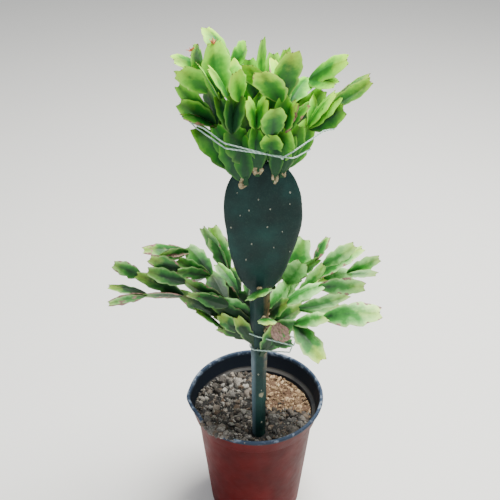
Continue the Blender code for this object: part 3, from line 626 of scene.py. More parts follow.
class Blade:
    """One flat segment: its scion, the blade it grows from, its start, its aim and its size."""

    def __init__(self, scion, parent, start, aim, size):
        self.scion = scion
        self.parent = parent
        self.start = start
        self.aim = aim
        self.length, self.width = size
        self.along, self.across, self.out = directions(*aim)
        self.branches = 0

    def place(self, side, share, lift=0.0):
        """The point side metres off the midrib, at a share of the length, lift metres off the blade."""
        bend = CURL * (share - 0.5)
        forward = self.length * (math.sin(bend) + math.sin(CURL / 2)) / CURL + math.sin(bend) * lift
        bulge = self.length * (math.cos(bend) - math.cos(CURL / 2)) / CURL
        cup = CUPPING * abs(side) * min(share * 4, 1)
        return self.start + self.along * forward + self.across * side + self.out * (bulge - cup + lift)

    def corner(self, side, row, face, fatter=0.0):
        """The corner in column side (-1, 0, 1) and row, on face (1 upper, -1 lower, 0 on the border)."""
        edge, rib, share, height = ROWS[row]
        extra = fatter if row else 0
        half = share * self.width / 2 + extra
        return self.place(side * half, edge if side else rib, face * (RIB_HALF * height + extra))

    def tip(self):
        """The middle of the far end."""
        return self.place(0, 1)

    def shoot(self, aim):
        """Where a segment with this aim starts, near the end of this one."""
        along = directions(*aim)[0]
        return self.place(JOINT_SPREAD * along.dot(self.across), ROWS[-1][1] - JOINT_SINK / self.length)

# %% Shape a test blade
def blade_grid(side, last):
    """A flat grid from -1 to 1 with side columns on each side of the midrib and last rows."""
    bm = bmesh.new()
    bmesh.ops.create_grid(bm, x_segments=2 * side, y_segments=last, size=1)
    return bm


def close_blade(bm, side, last):
    """Makes a blade's grid a closed lens: each vertex then holds its column, its row and its face."""
    lower = bm.verts[:]
    copied = bmesh.ops.duplicate(bm, geom=bm.faces[:])["geom"]
    upper = [item for item in copied if isinstance(item, bmesh.types.BMVert)]
    bmesh.ops.reverse_faces(bm, faces=[item for item in copied if isinstance(item, bmesh.types.BMFace)])
    for face, verts in ((1, upper), (-1, lower)):
        for vert in verts:
            inside = abs(vert.co.x) < 0.99 and abs(vert.co.y) < 0.99
            vert.co = (round(vert.co.x * side), round((vert.co.y + 1) / 2 * last), face if inside else 0)
    bmesh.ops.remove_doubles(bm, verts=bm.verts[:], dist=0.01)


def blade_template():
    """The test blade. Each cell is split from its outer corner, so no triangle has only border corners."""
    last = len(ROWS) - 1
    bm = blade_grid(1, last)
    for face in bm.faces[:]:
        by_reach = sorted(face.verts, key=lambda vert: 2 * abs(vert.co.x) + abs(vert.co.y))
        bmesh.ops.connect_verts(bm, verts=[by_reach[0], by_reach[-1]])
    close_blade(bm, 1, last)
    return bm


def shaped(template, blade, fatter=0.0):
    """A copy of the template moved to a blade's corners."""
    bm = template.copy()
    for vert in bm.verts:
        side, row, face = (round(value) for value in vert.co)
        vert.co = blade.corner(side, row, face, fatter)
    return bm

# %% Grow the tiers
def tree_of(bm):
    """The BVH tree of a bmesh, which is then freed."""
    tree = BVHTree.FromBMesh(bm)
    bm.free()
    return tree


def outness(point, middle, radii):
    """How far out in a crown a point lies: 0 in its middle, 1 on its border."""
    return Vector((point[i] - middle[i]) / radii[i] for i in range(3)).length


class Growth:
    """The blades so far, and what each new one has to stay clear of."""

    def __init__(self, obstacles):
        self.template = blade_template()
        self.chance = random.Random(GROWTH_SEED)
        self.obstacles = obstacles
        self.blades = []
        self.trees = []

    def clear(self, blade, own_too):
        """True where a slightly fatter blade touches no obstacle and no blade but its nearest kin."""
        tree = tree_of(shaped(self.template, blade, CLEAR))
        if any(tree.overlap(obstacle) for obstacle in self.obstacles):
            return False
        for other, other_tree in zip(self.blades, self.trees):
            kin = other is blade.parent or (other.parent is blade.parent and blade.parent is not None)
            own = other.scion == blade.scion
            if kin or (own and not own_too):
                continue
            if tree.overlap(other_tree):
                return False
        return True

    def turned_aim(self, aim, spread):
        """The aim, turned by chance by up to spread degrees, and a little further in roll."""
        return tuple(angle + factor * self.chance.uniform(-spread, spread)
                     for angle, factor in zip(aim, (1, 1, ROLL_FACTOR)))

    def settle(self, scion, parent, seat, aim, size, tries):
        """Adds a blade at the aim, or at the first clear aim near it; returns None where there is none."""
        for attempt in range(tries):
            spread = LEAST_TURN + (MOST_TURN - LEAST_TURN) * attempt / TRIES if attempt else 0
            turned_aim = self.turned_aim(aim, spread)
            if parent:
                start = parent.shoot(turned_aim)
            else:
                start = seat + directions(*turned_aim)[0] * (ROOT_REACH - ROOT_OVERLAP)
            blade = Blade(scion, parent, start, turned_aim, size)
            if self.clear(blade, own_too=attempt < STRICT_SHARE * TRIES):
                self.add(blade)
                return blade
        return None

    def add(self, blade):
        """Keeps a blade and its tree."""
        self.trees.append(tree_of(shaped(self.template, blade)))
        self.blades.append(blade)
        if blade.parent:
            blade.parent.branches += 1

    def grow_plan(self, plan):
        """Grows the scions laid out in the plan, nearest segments first."""
        waiting = [(scion, None, seat, segment) for scion, (seat, segment) in plan.items()]
        while waiting:
            scion, parent, seat, segment = waiting.pop(0)
            blade = self.settle(scion, parent, seat, segment["aim"], segment["size"], TRIES)
            if blade:
                waiting += [(scion, blade, None, branch) for branch in segment["branches"]]

    def grow_more(self, tier, middle, radii, count, rise):
        """Adds segments by rule: outwards from the stem, inside the crown, behind the front plane."""
        added = 0
        for _ in range(CROWN_TRIES * count):
            parent = self.chance.choice([blade for blade in self.blades if blade.scion.startswith(tier)
                                         and blade.branches < MOST_BRANCHES])
            tip = parent.tip()
            outwards = math.degrees(math.atan2(tip.y - STEM_Y, tip.x - STEM_X))
            aim = [self.chance.gauss(middle_aim, spread)
                   for middle_aim, spread in zip((outwards, rise, 0), CROWN_SPREAD)]
            size = (self.chance.uniform(*CROWN_LENGTHS) * MM, self.chance.uniform(*CROWN_WIDTHS) * MM)
            end = parent.shoot(aim) + directions(*aim)[0] * size[0]
            if end.y < BEHIND_Y or outness(end, middle, radii) > 1:
                continue
            if self.settle(parent.scion, parent, None, aim, size, 1):
                added += 1
            if added == count:
                break


depsgraph = bpy.context.evaluated_depsgraph_get()
obstacles = [tree_of(coarse["stem"]), tree_of(coarse["pad"])]
obstacles += [BVHTree.FromObject(frame["nodes"][name], depsgraph)
              for name in ("lower_tie_1", "lower_tie_2")]
growth = Growth(obstacles)
growth.grow_plan(plan)
for tier, crown in CROWNS.items():
    growth.grow_more(tier, *crown)
packed_blades = len(growth.blades)
print("blades", packed_blades)

# %% [markdown]
# ### Segments inside the crowns
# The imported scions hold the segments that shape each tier's outline. A real crown is so dense that hardly
# any light comes through its middle, so more segments are added here. They are those that rise from the
# scars on the pad's face, the fans over its top, young ones inside the winding on the stem, and a few
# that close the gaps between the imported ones. They need not keep clear of each other, as only their
# outside shows.

# %% Fill the crowns
# Each added segment: the branch it is joined to, where it starts and where it ends, its width, all in
# millimetres, and the degrees that it is rolled away from facing the front
ADDED = (
    ("upper_scion_3", (-14, -47, 488), (-31, -47, 534), 24, 0),
    ("upper_scion_3", (-11, -48, 490), (-15, -48, 537), 21, 8),
    ("upper_scion_4", (0, -47, 499), (-3, -47, 543), 22, -6),
    ("upper_scion_5", (17, -48, 493), (19, -48, 538), 15, 0),
    ("upper_scion_5", (24, -46, 496), (33, -46, 536), 16, 10),
    ("upper_scion_5", (27, -43, 501), (40, -42, 545), 20, -10),
    ("upper_scion_2", (-17, -44, 501), (-40, -43, 544), 22, 12),
    ("upper_scion_4", (8, -38, 505), (7, -22, 552), 24, 0),
    ("upper_scion_4", (9, -26, 545), (20, -38, 580), 24, -8),
    ("upper_scion_4", (-4, -42, 508), (-12, -30, 560), 24, 10),
    ("upper_scion_9", (31, -16, 526), (64, -4, 565), 24, 10),
    ("upper_scion_6", (66, -34, 558), (105, -30, 583), 19, 20),
    ("upper_scion_2", (-40, -18, 536), (-76, -14, 573), 20, -15),
    ("upper_scion_5", (16, -14, 556), (15, 2, 599), 20, 10),
    ("upper_scion_4", (0, -14, 556), (-8, 2, 593), 20, -10),
    ("lower_scion_1", (-34, -38, 341), (-78, -33, 363), 22, -15),
    ("lower_scion_1", (-74, -33, 360), (-117, -28, 372), 19, 10),
    ("lower_scion_1", (-50, -13, 354), (-86, -12, 376), 18, 0),
    ("lower_scion_1", (-8, -40, 314), (-49, -37, 336), 19, 10),
    ("lower_scion_4", (-3, -47, 288), (-22, -46, 325), 17, 0),
    ("lower_scion_8", (45, -11, 322), (75, 0, 363), 20, 15),
    ("lower_scion_8", (73, 0, 360), (108, 6, 383), 19, -10),
    ("lower_scion_10", (45, -36, 328), (100, -40, 350), 21, 10),
    ("lower_scion_12", (9, -50, 280), (36, -50, 313), 19, 0),
    ("lower_scion_12", (7, -51, 279), (20, -54, 320), 18, 12),
    ("lower_scion_16", (2, -32, 292), (-12, 4, 314), 20, 0),
    ("lower_scion_17", (11, -35, 291), (37, -13, 318), 20, 0),
    ("lower_scion_3", (-20, -20, 326), (-52, -10, 352), 20, 0),
    ("lower_scion_1", (-30, -42, 336), (-62, -46, 352), 18, 15),
    ("lower_scion_4", (-20, -44, 302), (-40, -44, 326), 18, 0),
)
JOINED = 14 * MM                    # an added segment grows from the blade whose tip is within this reach

for scion, start, end, width, turn in ADDED:
    start, reach = Vector(start) * MM, (Vector(end) - Vector(start)) * MM
    heading = math.degrees(math.atan2(reach.y, reach.x))
    rise = math.degrees(math.asin(reach.z / reach.length))
    _, level, above = directions(heading, rise, 0)
    facing = math.degrees(math.atan2(level.y, -above.y))
    nearest = min(growth.blades[:packed_blades], key=lambda blade: (blade.tip() - start).length)
    parent = nearest if (nearest.tip() - start).length < JOINED else None
    growth.add(Blade(scion, parent, start, (heading, rise, facing + turn), (reach.length, width * MM)))
print("placed by hand", len(growth.blades) - packed_blades)

# %% [markdown]
# ### One skin over stem and pad
# The stem and the pad overlap. A voxel remesh turns the two closed shapes into one even skin, and a
# smoothing pass rounds the line where they meet, as living tissue has no seam there. Shallow noise then
# gives the skin the soft dents of a plant that has drunk and dried many times.

# %% Model the rootstock
SKIN_VOXEL = 1.2 * MM
SKIN_DROP = 0.15 * MM               # the skin is drawn in this much, so that its bumps stay in the solids
DENTS = ((26 * MM, 0.7 * MM), (8 * MM, 0.22 * MM))
# How far the pad's left and right edges swell out, in millimetres, at each share of its height
PAD_SWELL = (
    ((0, 0), (0.08, -0.6), (0.3, -1.8), (0.45, -1.8), (0.6, 0), (0.82, 1.2), (1, 0)),
    ((0, -2), (0.08, -3), (0.25, -2), (0.42, 0), (0.6, 1.9), (0.76, 1.9), (0.9, 1), (1, 0)),
)

rootstock = new_object("opuntia_rootstock", stem_shape(48, finer=4))
pad = new_object("pad", pad_shape(around=64, rings=48))
bm = bmesh.new()
bm.from_mesh(pad.data)
for vert in bm.verts:
    share = (vert.co.z - PAD_BOTTOM) / (PAD_TOP - PAD_BOTTOM)
    side = (vert.co.x - PAD_X) / PAD_HALF_WIDTH
    vert.co.x += side * between(PAD_SWELL[side > 0], share) * MM
bm.from_mesh(rootstock.data)
bm.to_mesh(rootstock.data)
bm.free()
bpy.data.objects.remove(pad)
remesh = rootstock.modifiers.new("skin", "REMESH")
remesh.mode = "VOXEL"
remesh.voxel_size = SKIN_VOXEL
soften = rootstock.modifiers.new("soften", "SMOOTH")
soften.factor = 0.5
soften.iterations = 4
bake_modifiers(rootstock)
bm = bmesh.new()
bm.from_mesh(rootstock.data)
bm.normal_update()
moves = [sum(depth * noise.noise(vert.co / size) for size, depth in DENTS) for vert in bm.verts]
for vert, normal, move in zip(bm.verts, [vert.normal.copy() for vert in bm.verts], moves):
    vert.co += normal * (move - SKIN_DROP)
bm.to_mesh(rootstock.data)
rootstock_tree = tree_of(bm)

# %% [markdown]
# ### Its skin
# A prickly pear's skin is a waxy cuticle over dark flesh, and a grey-blue bloom lies on it in patches. The
# stem's left face is painted pale blue-grey, fading out above the string: painted light on that face.
# Where the stem was scraped or has aged, it turned to tan cork. The cork shows along one ridge on the
# right under the grafts, so that mask is a noise kept to that side and height. The wax gives a dull sheen.

# %% Waxy cuticle with cork
BLOOM, CORK_PATCHES, PORES = 30 * MM, 9 * MM, 1.6 * MM
SCRAPE = Vector((6, -50, 215)) * MM # a scraped place low on the stem
LEFT_LIGHT_TOP = 268 * MM               # the painted light on the stem's left fades out here, as the stem above lies in shade

cuticle, tree, here = new_material("waxy_cuticle_with_cork")
place = add(tree, "SeparateXYZ", here)
bloom = add(tree, "TexNoise", Vector=here, Scale=1 / BLOOM, Detail=4.0)
skin = add(tree, "ValToRGB", bloom, stops=((0.3, "#0e2624"), (0.5, "#15322f"), (0.72, "#214540")))
pores = add(tree, "TexNoise", Vector=here, Scale=1 / PORES, Detail=2.0)
speckled = add(tree, "Mix RGBA", add(tree, "MapRange", pores, 0.55, 0.8, 0.0, 0.3), skin, "#3c564a")
# Painted light: the stem's left face below the string is painted pale blue-grey.
left_face = add(tree, "MapRange", place.outputs["X"], STEM_X - 3 * MM, STEM_X - 7 * MM)
on_stem = add(tree, "MapRange", place.outputs["Z"], PAD_BOTTOM + 12 * MM, PAD_BOTTOM - 4 * MM)
under_string = add(tree, "MapRange", place.outputs["Z"], LEFT_LIGHT_TOP + 14 * MM, LEFT_LIGHT_TOP - 4 * MM,
                   0.1, 1.0)
painted_left_light = add(tree, "Math MULTIPLY", left_face, add(tree, "Math MULTIPLY", on_stem, under_string))
with_left_light = add(tree, "Mix RGBA", add(tree, "Math MULTIPLY", painted_left_light, 0.65), speckled, "#6a7f8c")
cork_side = add(tree, "MapRange", place.outputs["X"], STEM_X + 3 * MM, STEM_X + 9 * MM)
cork_height = add(tree, "MapRange", place.outputs["Z"], 235 * MM, 275 * MM)
cork_noise = add(tree, "TexNoise", Vector=here, Scale=1 / CORK_PATCHES, Detail=5.0)
cork_room = add(tree, "Math MULTIPLY", add(tree, "Math MULTIPLY", cork_side, cork_height), on_stem)
cork_mask = add(tree, "Math MULTIPLY", cork_room, add(tree, "MapRange", cork_noise, 0.42, 0.55))
scraped = add(tree, "VectorMath DISTANCE", here, tuple(SCRAPE)).outputs["Value"]
ragged = add(tree, "Math", scraped, add(tree, "MapRange", cork_noise, 0.3, 0.7, -2 * MM, 2 * MM))
scrape_mask = add(tree, "MapRange", ragged, 4.5 * MM, 3 * MM)
corky = add(tree, "Mix RGBA", cork_mask, with_left_light, "#7d6a4c")
shader = add(tree, "BsdfPrincipled", IOR=1.45, Specular_IOR_Level=0.22,
             Base_Color=add(tree, "Mix RGBA", scrape_mask, corky, "#8f8c74"),
             Roughness=add(tree, "MapRange", bloom, 0.3, 0.7, 0.45, 0.65),
             Normal=add(tree, "Bump", Height=pores, Distance=0.12 * MM, Strength=1.0))
add(tree, "OutputMaterial", shader)
finish_piece(rootstock, cuticle, "rootstock_skin", "rootstock", smooth_angle=60)

# %% [markdown]
# ### Areoles
# Each pale dot on the pad is an areole, the cushion of felt that a cactus grows its bristles from. The
# front ones are set where the photo shows them, and the back gets the same number by rule. Each is a
# flattened ball sunk in the skin, with a few thin cones for bristles.

# %% Set the areoles
AREOLES = ((-96, 0.76), (-44, 0.72), (-124, 0.64), (-110, 0.68), (-78, 0.69), (-82, 0.56), (-106, 0.43),
           (-144, 0.54), (-134, 0.80), (-40, 0.80), (-32, 0.35), (-70, 0.40), (-58, 0.52), (-118, 0.30))
STEM_AREOLES = ((-103, 283), (-97, 246), (-72, 222), (-66, 172), (-160, 240))
AREOLE_RADII = 0.5, 1.0             # millimetres
AREOLE_FORM = Matrix.Diagonal((1, 1.3, 0.5, 1))
BRISTLES, BRISTLE_SIDES, BRISTLE_RADII, BRISTLE_LENGTH, BRISTLE_LEAN = 3, 4, (0.14, 0.03), 1.8, (0.2, 0.7)


def on_skin(point):
    """The nearest point of the rootstock's skin, and a turn whose Z axis is its normal."""
    place, normal, _, _ = rootstock_tree.find_nearest(point)
    return place, normal.to_track_quat("Z", "Y").to_matrix().to_4x4()


def add_spike(bm, seat, sides, radii, length, lean):
    """A thin cone on a seat, sized in millimetres, that leans by least to most radians to any side."""
    length *= MM
    leaning = (Matrix.Rotation(chance.uniform(0, math.tau), 4, "Z")
               @ Matrix.Rotation(chance.uniform(*lean), 4, "X"))
    bmesh.ops.create_cone(bm, cap_ends=True, segments=sides, radius1=radii[0] * MM, radius2=radii[1] * MM,
                          depth=length, matrix=seat @ leaning @ Matrix.Translation((0, 0, length / 2)))


def fibrous(name, size, detail, stops, **shading):
    """A material whose colour follows one noise of a size in millimetres."""
    made, tree, here = new_material(name)
    fibres = add(tree, "TexNoise", Vector=here, Scale=1 / (size * MM), Detail=detail)
    shader = add(tree, "BsdfPrincipled", Base_Color=add(tree, "ValToRGB", fibres, stops=stops), **shading)
    add(tree, "OutputMaterial", shader)
    return made


chance = random.Random(5)
bm = bmesh.new()
spots = [pad_point(turn, share) for turn, share in AREOLES]
spots += [pad_point(-turn + chance.uniform(-9, 9), share) for turn, share in AREOLES]
spots += [stem_point(turn, height) for turn, height in STEM_AREOLES]
for spot in spots:
    place, turned = on_skin(spot)
    seat = Matrix.Translation(place) @ turned
    bmesh.ops.create_icosphere(bm, subdivisions=2, radius=chance.uniform(*AREOLE_RADII) * MM,
                               matrix=seat @ AREOLE_FORM)
    for _ in range(BRISTLES):
        add_spike(bm, seat, BRISTLE_SIDES, BRISTLE_RADII, BRISTLE_LENGTH, BRISTLE_LEAN)
felt = fibrous("areole_felt", 0.8, 2.0, ((0.35, "#6a6f60"), (0.65, "#a9ac9a")),
               Roughness=0.95, Sheen_Weight=0.3)
finish_piece(new_object("areoles", bm), felt, "rootstock_skin")

# %% [markdown]
# ### Graft scars
# Where the pad was slit for a scion, the cut healed with a ridge of beige callus, and its skin dried to
# cork. Four such scars show on the pad's face under the upper tier. Each is a long flattened ball, sunk in
# the skin, pressed in where the slit was and roughened by noise; the pressed-in slit is painted dark brown,
# as painted shade in its hollow. A low collar of the same callus closes round each graft on the stem.

# %% Heal the cuts
# Each scar: degrees round the pad, share of its height, width and length in millimetres, degrees of slant
SCARS = ((-126, 0.865, 8.5, 14, 14), (-101, 0.95, 10, 11, 6), (-66, 0.90, 6.5, 14, -4),
         (-40, 0.93, 5, 8, -12))
SCAR_HEIGHT = 1.5 * MM
SLIT_AT, SLIT_NARROW, SLIT_FADE, SLIT_DEPTH = 0.25, 1.6, 1.7, 0.9     # in a scar of half height 1
SCAR_TAPER = 0.35                   # the scar opens towards its top and narrows below by this share
COLLAR_FORM = Matrix.Diagonal((2.7 * MM, 2.7 * 1.2 * MM, SCAR_HEIGHT * 1.3, 1))
CALLUS_LUMPS, CALLUS_ROUGHNESS = 3.5 * MM, 1.0 * MM


def roughened(bm, size, depth):
    """Moves each vertex along its normal by noise of this size and depth."""
    bm.normal_update()
    for vert, normal in [(vert, vert.normal.copy()) for vert in bm.verts]:
        vert.co += normal * depth * noise.noise(vert.co / size)


bm = bmesh.new()
pit = bm.verts.layers.float.new("pit")
for turn, share, width, length, slant in SCARS:
    place, _ = on_skin(pad_point(turn, share))
    seat = Matrix.Translation(place) @ Matrix.Rotation(math.radians(slant), 4, "Y")
    flat = seat @ Matrix.Diagonal((width * MM / 2, SCAR_HEIGHT, length * MM / 2, 1))
    made = bmesh.ops.create_uvsphere(bm, u_segments=32, v_segments=20, radius=1)
    for vert in made["verts"]:
        vert[pit] = max(1 - math.hypot(vert.co.x * SLIT_NARROW, vert.co.z - SLIT_AT) * SLIT_FADE, 0)
        taper = 1 + SCAR_TAPER * (max(vert.co.z, 0) - min(vert.co.z, 0) ** 2)
        vert.co = flat @ Vector((vert.co.x * taper, vert.co.y * (1 - SLIT_DEPTH * vert[pit]), vert.co.z))
for seat_point in (seat for scion, (seat, _) in plan.items() if scion.startswith("lower")):
    place, turned = on_skin(seat_point)
    bmesh.ops.create_uvsphere(bm, u_segments=20, v_segments=12, radius=1,
                              matrix=Matrix.Translation(place) @ turned @ COLLAR_FORM)
roughened(bm, CALLUS_LUMPS, CALLUS_ROUGHNESS)
scars = new_object("graft_callus", bm)
callus, tree, here = new_material("dried_graft_callus")
crust = add(tree, "TexNoise", Vector=here, Scale=1 / (3 * MM), Detail=5.0)
beige = add(tree, "ValToRGB", crust, stops=((0.3, "#5d5138"), (0.5, "#9a8c68"), (0.7, "#cdc19c")))
# Painted shade: the pressed-in slit is painted dark brown.
slit_shade = add(tree, "Attribute", attribute_name="pit").outputs["Fac"]
shader = add(tree, "BsdfPrincipled", Roughness=0.85,
             Base_Color=add(tree, "Mix RGBA", slit_shade, beige, "#3f2216"),
             Normal=add(tree, "Bump", Height=crust, Distance=0.5 * MM, Strength=1.0))
add(tree, "OutputMaterial", shader)
finish_piece(scars, callus, "rootstock_skin", smooth_angle=60)

# %% [markdown]
# ## The segments
# A real segment is a thick, soft blade: round at the midrib, blunt at its edge, with shallow notches. The
# fine blade follows the test blade's rows, with more rows between and more columns across. Its grid
# becomes two faces that share their border, so it is closed. Two records go with it for the finish: a UV
# map, across and along the blade, and a face-corner colour that holds its tone, its yellow and its dryness.

# %% Shape the fine blade
COLUMNS = (0, 0.1, 0.3, 0.55, 0.8, 0.95, 1)
FLESH = (1.0, 0.86, 0.62, 0.5, 0.4, 0.26, 0)     # the thickness at each column, a share of the rib's
ROW_STEPS = (3, 4, 2, 4, 2, 5)                   # the fine rows in each step of ROWS
ROW_BULGE = (0.05, 0.05, 0, 0.05, 0, 0.06)       # how far the edge swells out between two rows
NOTCHES = {"upper": 0.84, "lower": 0.78}         # the share of the half width left at a notch
BLUNT = 0.3                                      # how far the horns at the end are rounded off
WAVE, WAVE_SIZE = 0.45 * MM, 15 * MM
UNEVEN = 0.07                                    # how far a blade's two edges stray from its rows


def fine_rows(notch):
    """Rows as in ROWS, with the steps between them."""
    rows = []
    soft = [(edge, rib, notch if index in (3, 5) else half, high)
            for index, (edge, rib, half, high) in enumerate(ROWS)]
    for start, end, steps, bulge in zip(soft, soft[1:], ROW_STEPS, ROW_BULGE):
        for step in range(steps):
            share = step / steps
            edge, rib, half, high = (first + (second - first) * share for first, second in zip(start, end))
            rows.append((edge, rib, half + bulge * math.sin(math.pi * share), high))
    rows.append(soft[-1])
    return rows


def fine_template(rows):
    """The fine blade, with its UV map and a layer for its look."""
    last, side = len(rows) - 1, len(COLUMNS) - 1
    bm = blade_grid(side, last)
    uv = bm.loops.layers.uv.new("UVMap")
    bm.loops.layers.float_color.new("leaf")
    for loop in (loop for face in bm.faces for loop in face.loops):
        column = round(loop.vert.co.x * side)
        loop[uv].uv = (0.5 + math.copysign(COLUMNS[abs(column)] / 2, column), (loop.vert.co.y + 1) / 2)
    close_blade(bm, side, last)
    bmesh.ops.recalc_face_normals(bm, faces=bm.faces[:])
    return bm


def fine_blade(blade, look):
    """An object with the blade's fine form; look is its tone, yellow and dryness."""
    bm = template.copy()
    for vert in bm.verts:
        column, row, face = (round(value) for value in vert.co)
        edge, rib, half, high = rows[blade.scion[:5]][row]
        out = COLUMNS[abs(column)]
        share = rib + (edge - rib) * (out ** 1.5 - BLUNT * out ** 8)
        stray = noise.noise(Vector((7 * edge, blade.start.x * 1000, math.copysign(5, column))))
        side = math.copysign(out * half * blade.width / 2, column) * (1 + UNEVEN * stray)
        wave = WAVE * out * noise.noise(blade.place(side, share) / WAVE_SIZE)
        vert.co = blade.place(side, share, face * RIB_HALF * high * FLESH[abs(column)] + wave)
    leaf = bm.loops.layers.float_color["leaf"]
    for loop in (loop for face in bm.faces for loop in face.loops):
        loop[leaf] = (*look, 1)
    return new_object("blade", bm)


rows = {tier: fine_rows(notch) for tier, notch in NOTCHES.items()}
template = fine_template(rows["upper"])
print("faces of a blade", len(template.faces))

# %% [markdown]
# ### Each blade's look
# No two segments have the same green. The tips that grew last are lighter and yellower, and old ones are
# dark. Those in the open and those that lie level are painted lighter, as painted light, and shaded ones
# darker, as painted shade. So a blade's tone comes from how far out in its tier it stands, whether it is
# the last of its row and how level it lies, with some chance. Those that the photo shows well are named by
# their number instead, and their tones carry painted light and shade too.

# %% Tint the blades
LOOK_SEED = 4
# Painted light: blades far out in a crown and blades that lie level are lighter; the lift of the tips is
# their own younger green.
OUTER_TONE, TIP_TONE, LEVEL_LIGHT_TONE = 0.42, 0.28, 0.2
BASE_TONE = {"upper": -0.12, "lower": -0.2}
YELLOW, TIP_YELLOW = 0.15, 0.45
DRYNESS = {"upper": 0, "lower": 0.15}
LOOK_SPREAD = (0.14, 0.22, 0.2)     # how much chance adds to tone, yellow and dryness
INNER_SHADE = 0.12                  # how much darker the segments inside a crown are
LEFT_SHADE = 0.15                   # and those of the lower tier that stand left of the stem
# The tones given by number hold each blade's own green together with the painted light and shade on it.
SEEN = {                            # percent of tone, yellow and dryness
    0: (35, 10, 0), 1: (32, 10, 30), 2: (22, 5, 0), 3: (35, 5, 0), 4: (50, 15, 0), 5: (50, 20, 0),
    6: (45, 25, 0), 7: (25, 10, 0), 8: (45, 15, 0), 9: (60, 0, 5), 10: (30, 30, 20), 11: (20, 0, 0),
    12: (35, 20, 40), 13: (60, 20, 5), 14: (60, 90, 25), 15: (70, 10, 30), 16: (25, 50, 35),
    17: (20, 30, 10), 18: (45, 70, 10), 19: (45, 0, 10), 20: (20, 0, 0), 21: (50, 10, 100),
    24: (20, 0, 0), 25: (20, 10, 0), 26: (40, 15, 15), 27: (40, 10, 60), 28: (20, 10, 0), 29: (25, 10, 0),
    30: (25, 10, 0), 31: (25, 10, 0), 32: (70, 60, 5), 33: (60, 40, 0), 34: (60, 50, 0), 35: (45, 10, 0),
    36: (60, 50, 45), 37: (40, 10, 50), 39: (30, 10, 0), 40: (60, 30, 0), 41: (80, 60, 0),
    42: (70, 50, 0), 43: (50, 30, 10), 44: (30, 10, 0), 45: (40, 30, 40), 46: (30, 20, 45),
    47: (25, 10, 10), 48: (45, 30, 0), 49: (70, 20, 20), 50: (50, 20, 10), 51: (45, 30, 10),
    52: (75, 80, 20), 53: (75, 80, 20), 55: (70, 60, 15), 56: (60, 40, 10), 57: (65, 60, 5),
    58: (50, 95, 15), 59: (70, 50, 10), 60: (70, 40, 0), 61: (35, 10, 0), 62: (50, 50, 0),
    63: (75, 80, 0), 64: (80, 70, 0), 65: (60, 30, 0), 66: (50, 20, 0), 67: (65, 30, 0), 68: (80, 90, 20),
    69: (52, 70, 15), 70: (60, 80, 10), 71: (50, 30, 0), 72: (80, 90, 20), 73: (60, 0, 0),
    74: (60, 100, 30), 75: (55, 10, 10), 76: (60, 20, 40), 77: (45, 40, 10), 78: (50, 20, 70),
    79: (60, 40, 5), 80: (60, 20, 30), 81: (50, 30, 60), 82: (60, 60, 40), 83: (80, 0, 10),
    84: (62, 50, 40), 85: (60, 60, 35), 86: (50, 50, 20), 87: (60, 50, 20), 88: (55, 50, 5),
    89: (60, 20, 0), 90: (62, 50, 5), 91: (55, 30, 0), 92: (60, 50, 60), 93: (70, 80, 10),
    94: (50, 50, 50), 95: (60, 30, 30), 96: (80, 40, 65), 97: (35, 40, 10), 98: (65, 50, 10),
    99: (80, 50, 10), 100: (50, 30, 30), 101: (50, 30, 40), 103: (80, 90, 20), 118: (70, 20, 20),
    121: (75, 80, 20), 124: (70, 20, 20), 128: (22, 0, 0), 129: (30, 0, 0), 130: (25, 0, 0),
    131: (20, 0, 0), 132: (22, 10, 0), 133: (30, 10, 0), 134: (25, 0, 0), 138: (50, 20, 0),
    139: (60, 60, 10), 140: (50, 10, 0), 141: (50, 20, 0), 142: (45, 10, 0), 143: (35, 20, 30),
    144: (50, 30, 20), 145: (50, 20, 20), 146: (30, 20, 20), 148: (60, 50, 10), 149: (70, 60, 10),
    150: (65, 50, 15),
}


def looks():
    """Each blade's tone, yellow and dryness, all from 0 to 1."""
    chance = random.Random(LOOK_SEED)
    found = []
    for index, blade in enumerate(growth.blades):
        tier = blade.scion[:5]
        outer = min(outness(blade.place(0, 0.6), *CROWNS[tier][:2]) / 1.5, 1)
        lit_from_above = 0.5 + 0.5 * abs(blade.out.normalized().z)
        tone = BASE_TONE[tier] + OUTER_TONE * outer + LEVEL_LIGHT_TONE * lit_from_above
        if not blade.branches:
            tone += TIP_TONE
        if index >= packed_blades:
            tone -= INNER_SHADE
        look = (tone, YELLOW if blade.branches else TIP_YELLOW, DRYNESS[tier])
        look = [value + chance.gauss(0, spread) for value, spread in zip(look, LOOK_SPREAD)]
        if index in SEEN:
            look = [percent / 100 for percent in SEEN[index]]
        look = [min(max(value, 0), 1) for value in look]
        if tier == "lower" and blade.place(0, 0.5).x < STEM_X:
            look[0] -= LEFT_SHADE
        found.append(look)
    return found


blade_looks = looks()
